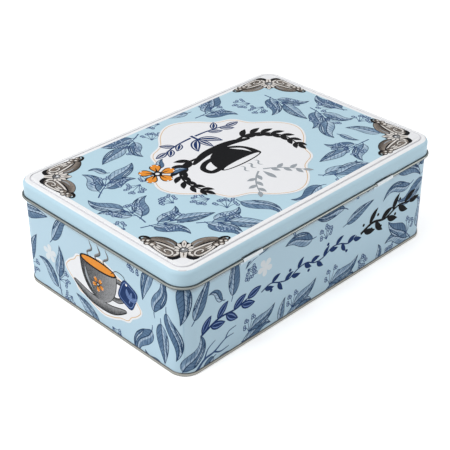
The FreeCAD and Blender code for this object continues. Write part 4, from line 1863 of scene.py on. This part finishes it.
@dataclass(frozen=True)
class Studio:
    """White sweep, soft lamps and the camera.

    Each lamp has its name, its place and its size in metres, and its power in watts.
    """

    azimuth: float = 135.1843
    elevation: float = 32.2937
    distance: float = 706.945
    target: tuple[float, float, float] = (17.348, 11.379, 35.0)
    lens: float = 88.49
    sensor: float = 36.0
    floor_size: float = 6.0
    floor_code: str = "#f4f4f4"
    floor_roughness: float = 0.9
    floor_glow: float = 0.5
    room_light: float = 0.4
    lamps: tuple = (("lamp_key", (1.15, -0.35, 1.25), 1.2, 15.5),
                    ("lamp_fill", (-0.55, 0.62, 0.16), 0.3, 1.2),
                    ("lamp_top", (0.1, -0.1, 1.9), 1.2, 6.5))

    WHITE = (1.0, 1.0, 1.0, 1.0)

    @staticmethod
    def _put(name: str, data: bpy.types.ID, spot: Vector, back: Vector | None = None) -> bpy.types.Object:
        """Puts an object into the studio.

        Args:
            name: Its name.
            data: What it shows.
            spot: Where it stands, in metres.
            back: The direction that its back faces, if it is aimed.

        Returns:
            The object.
        """
        thing = bpy.data.objects.new(name, data)
        thing.location = spot
        if back:
            thing.rotation_euler = back.to_track_quat("Z", "Y").to_euler()
        bpy.context.scene.collection.objects.link(thing)
        return thing

    def camera(self) -> None:
        """Places the camera: azimuth 0 looks along +Y, and it turns towards +X."""
        data = bpy.data.cameras.new("camera")
        data.lens, data.sensor_width, data.clip_end = self.lens, self.sensor, 100.0
        turn, rise = math.radians(self.azimuth), math.radians(self.elevation)
        back = Vector((math.sin(turn) * math.cos(rise), -math.cos(turn) * math.cos(rise), math.sin(rise)))
        spot = (Vector(self.target) + back * self.distance) * MM
        bpy.context.scene.camera = self._put("camera", data, spot, back)

    def floor(self) -> None:
        """Lays the pale floor, white to the camera and in reflections but still holding the shadow."""
        mesh = bmesh.new()
        bmesh.ops.create_grid(mesh, x_segments=1, y_segments=1, size=self.floor_size)
        data = bpy.data.meshes.new("studio_floor")
        mesh.to_mesh(data)
        mesh.free()
        material, add = new_material("studio_floor_card")
        glow = add("Math:MULTIPLY", seen_rays(add), self.floor_glow)
        card = add("BsdfPrincipled", {
            "Base Color": linear(self.floor_code), "Roughness": self.floor_roughness,
            "Specular IOR Level": 0.0, "Emission Color": self.WHITE, "Emission Strength": glow})
        add("OutputMaterial", {"Surface": card})
        data.materials.append(material)
        self._put("studio_floor", data, Vector())

    def light(self) -> None:
        """Sets the soft lamps and the white room, which is dimmer as a light than as it is seen."""
        world = bpy.data.worlds.new("studio_room")
        bpy.context.scene.world = world
        world.use_nodes = True
        world.node_tree.nodes.clear()
        add = partial(add_node, world.node_tree)
        strength = add("Math:MULTIPLY_ADD", seen_rays(add), 1 - self.room_light, self.room_light)
        add("OutputWorld", {"Surface": add("Background", {"Color": self.WHITE, "Strength": strength})})
        for name, spot, size, power in self.lamps:
            data = bpy.data.lights.new(name, "AREA")
            data.shape, data.size, data.energy = "DISK", size, power
            self._put(name, data, Vector(spot), Vector(spot))

    def make(self) -> None:
        """Sets up the whole studio with plain colour handling."""
        bpy.context.scene.view_settings.view_transform = "Standard"
        self.camera()
        self.floor()
        self.light()


# ---------------------------------------------------------------- the tin

@dataclass
class TeaTin:
    """The whole tin: finishes on the sheet-metal pieces, and the print laid over them."""

    nodes: dict = field(default_factory=lambda: frame["nodes"])

    def dress_metal(self) -> None:
        """Gives the three sheet-metal pieces their finishes."""
        for name, finish in (("lid", LidLacquer()), ("tin_body", WallLacquer()), ("base", BareTinplate())):
            material = finish.make()
            slots = self.nodes[name].material_slots
            for slot in slots:
                slot.material = material
            LOG.info("%s: %s in %d slots", name, material.name, len(slots))

    def print_all(self) -> None:
        """Lays the print on the lid and on the can, whose sizes come from the sheet-metal pieces."""
        LidPrint(Panel(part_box("lid")[1].z / MM)).make()
        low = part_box("tin_body")[0]
        CanPrint(Wall(-low.x / MM, -low.y / MM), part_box("base")[1].z / MM).make()


def main() -> None:
    """Builds the studio and the tin."""
    logging.basicConfig(level=logging.INFO, format="%(name)s: %(message)s")
    Studio().make()
    tin = TeaTin()
    tin.dress_metal()
    tin.print_all()
    bpy.context.view_layer.update()


if __name__ == "__main__":
    main()
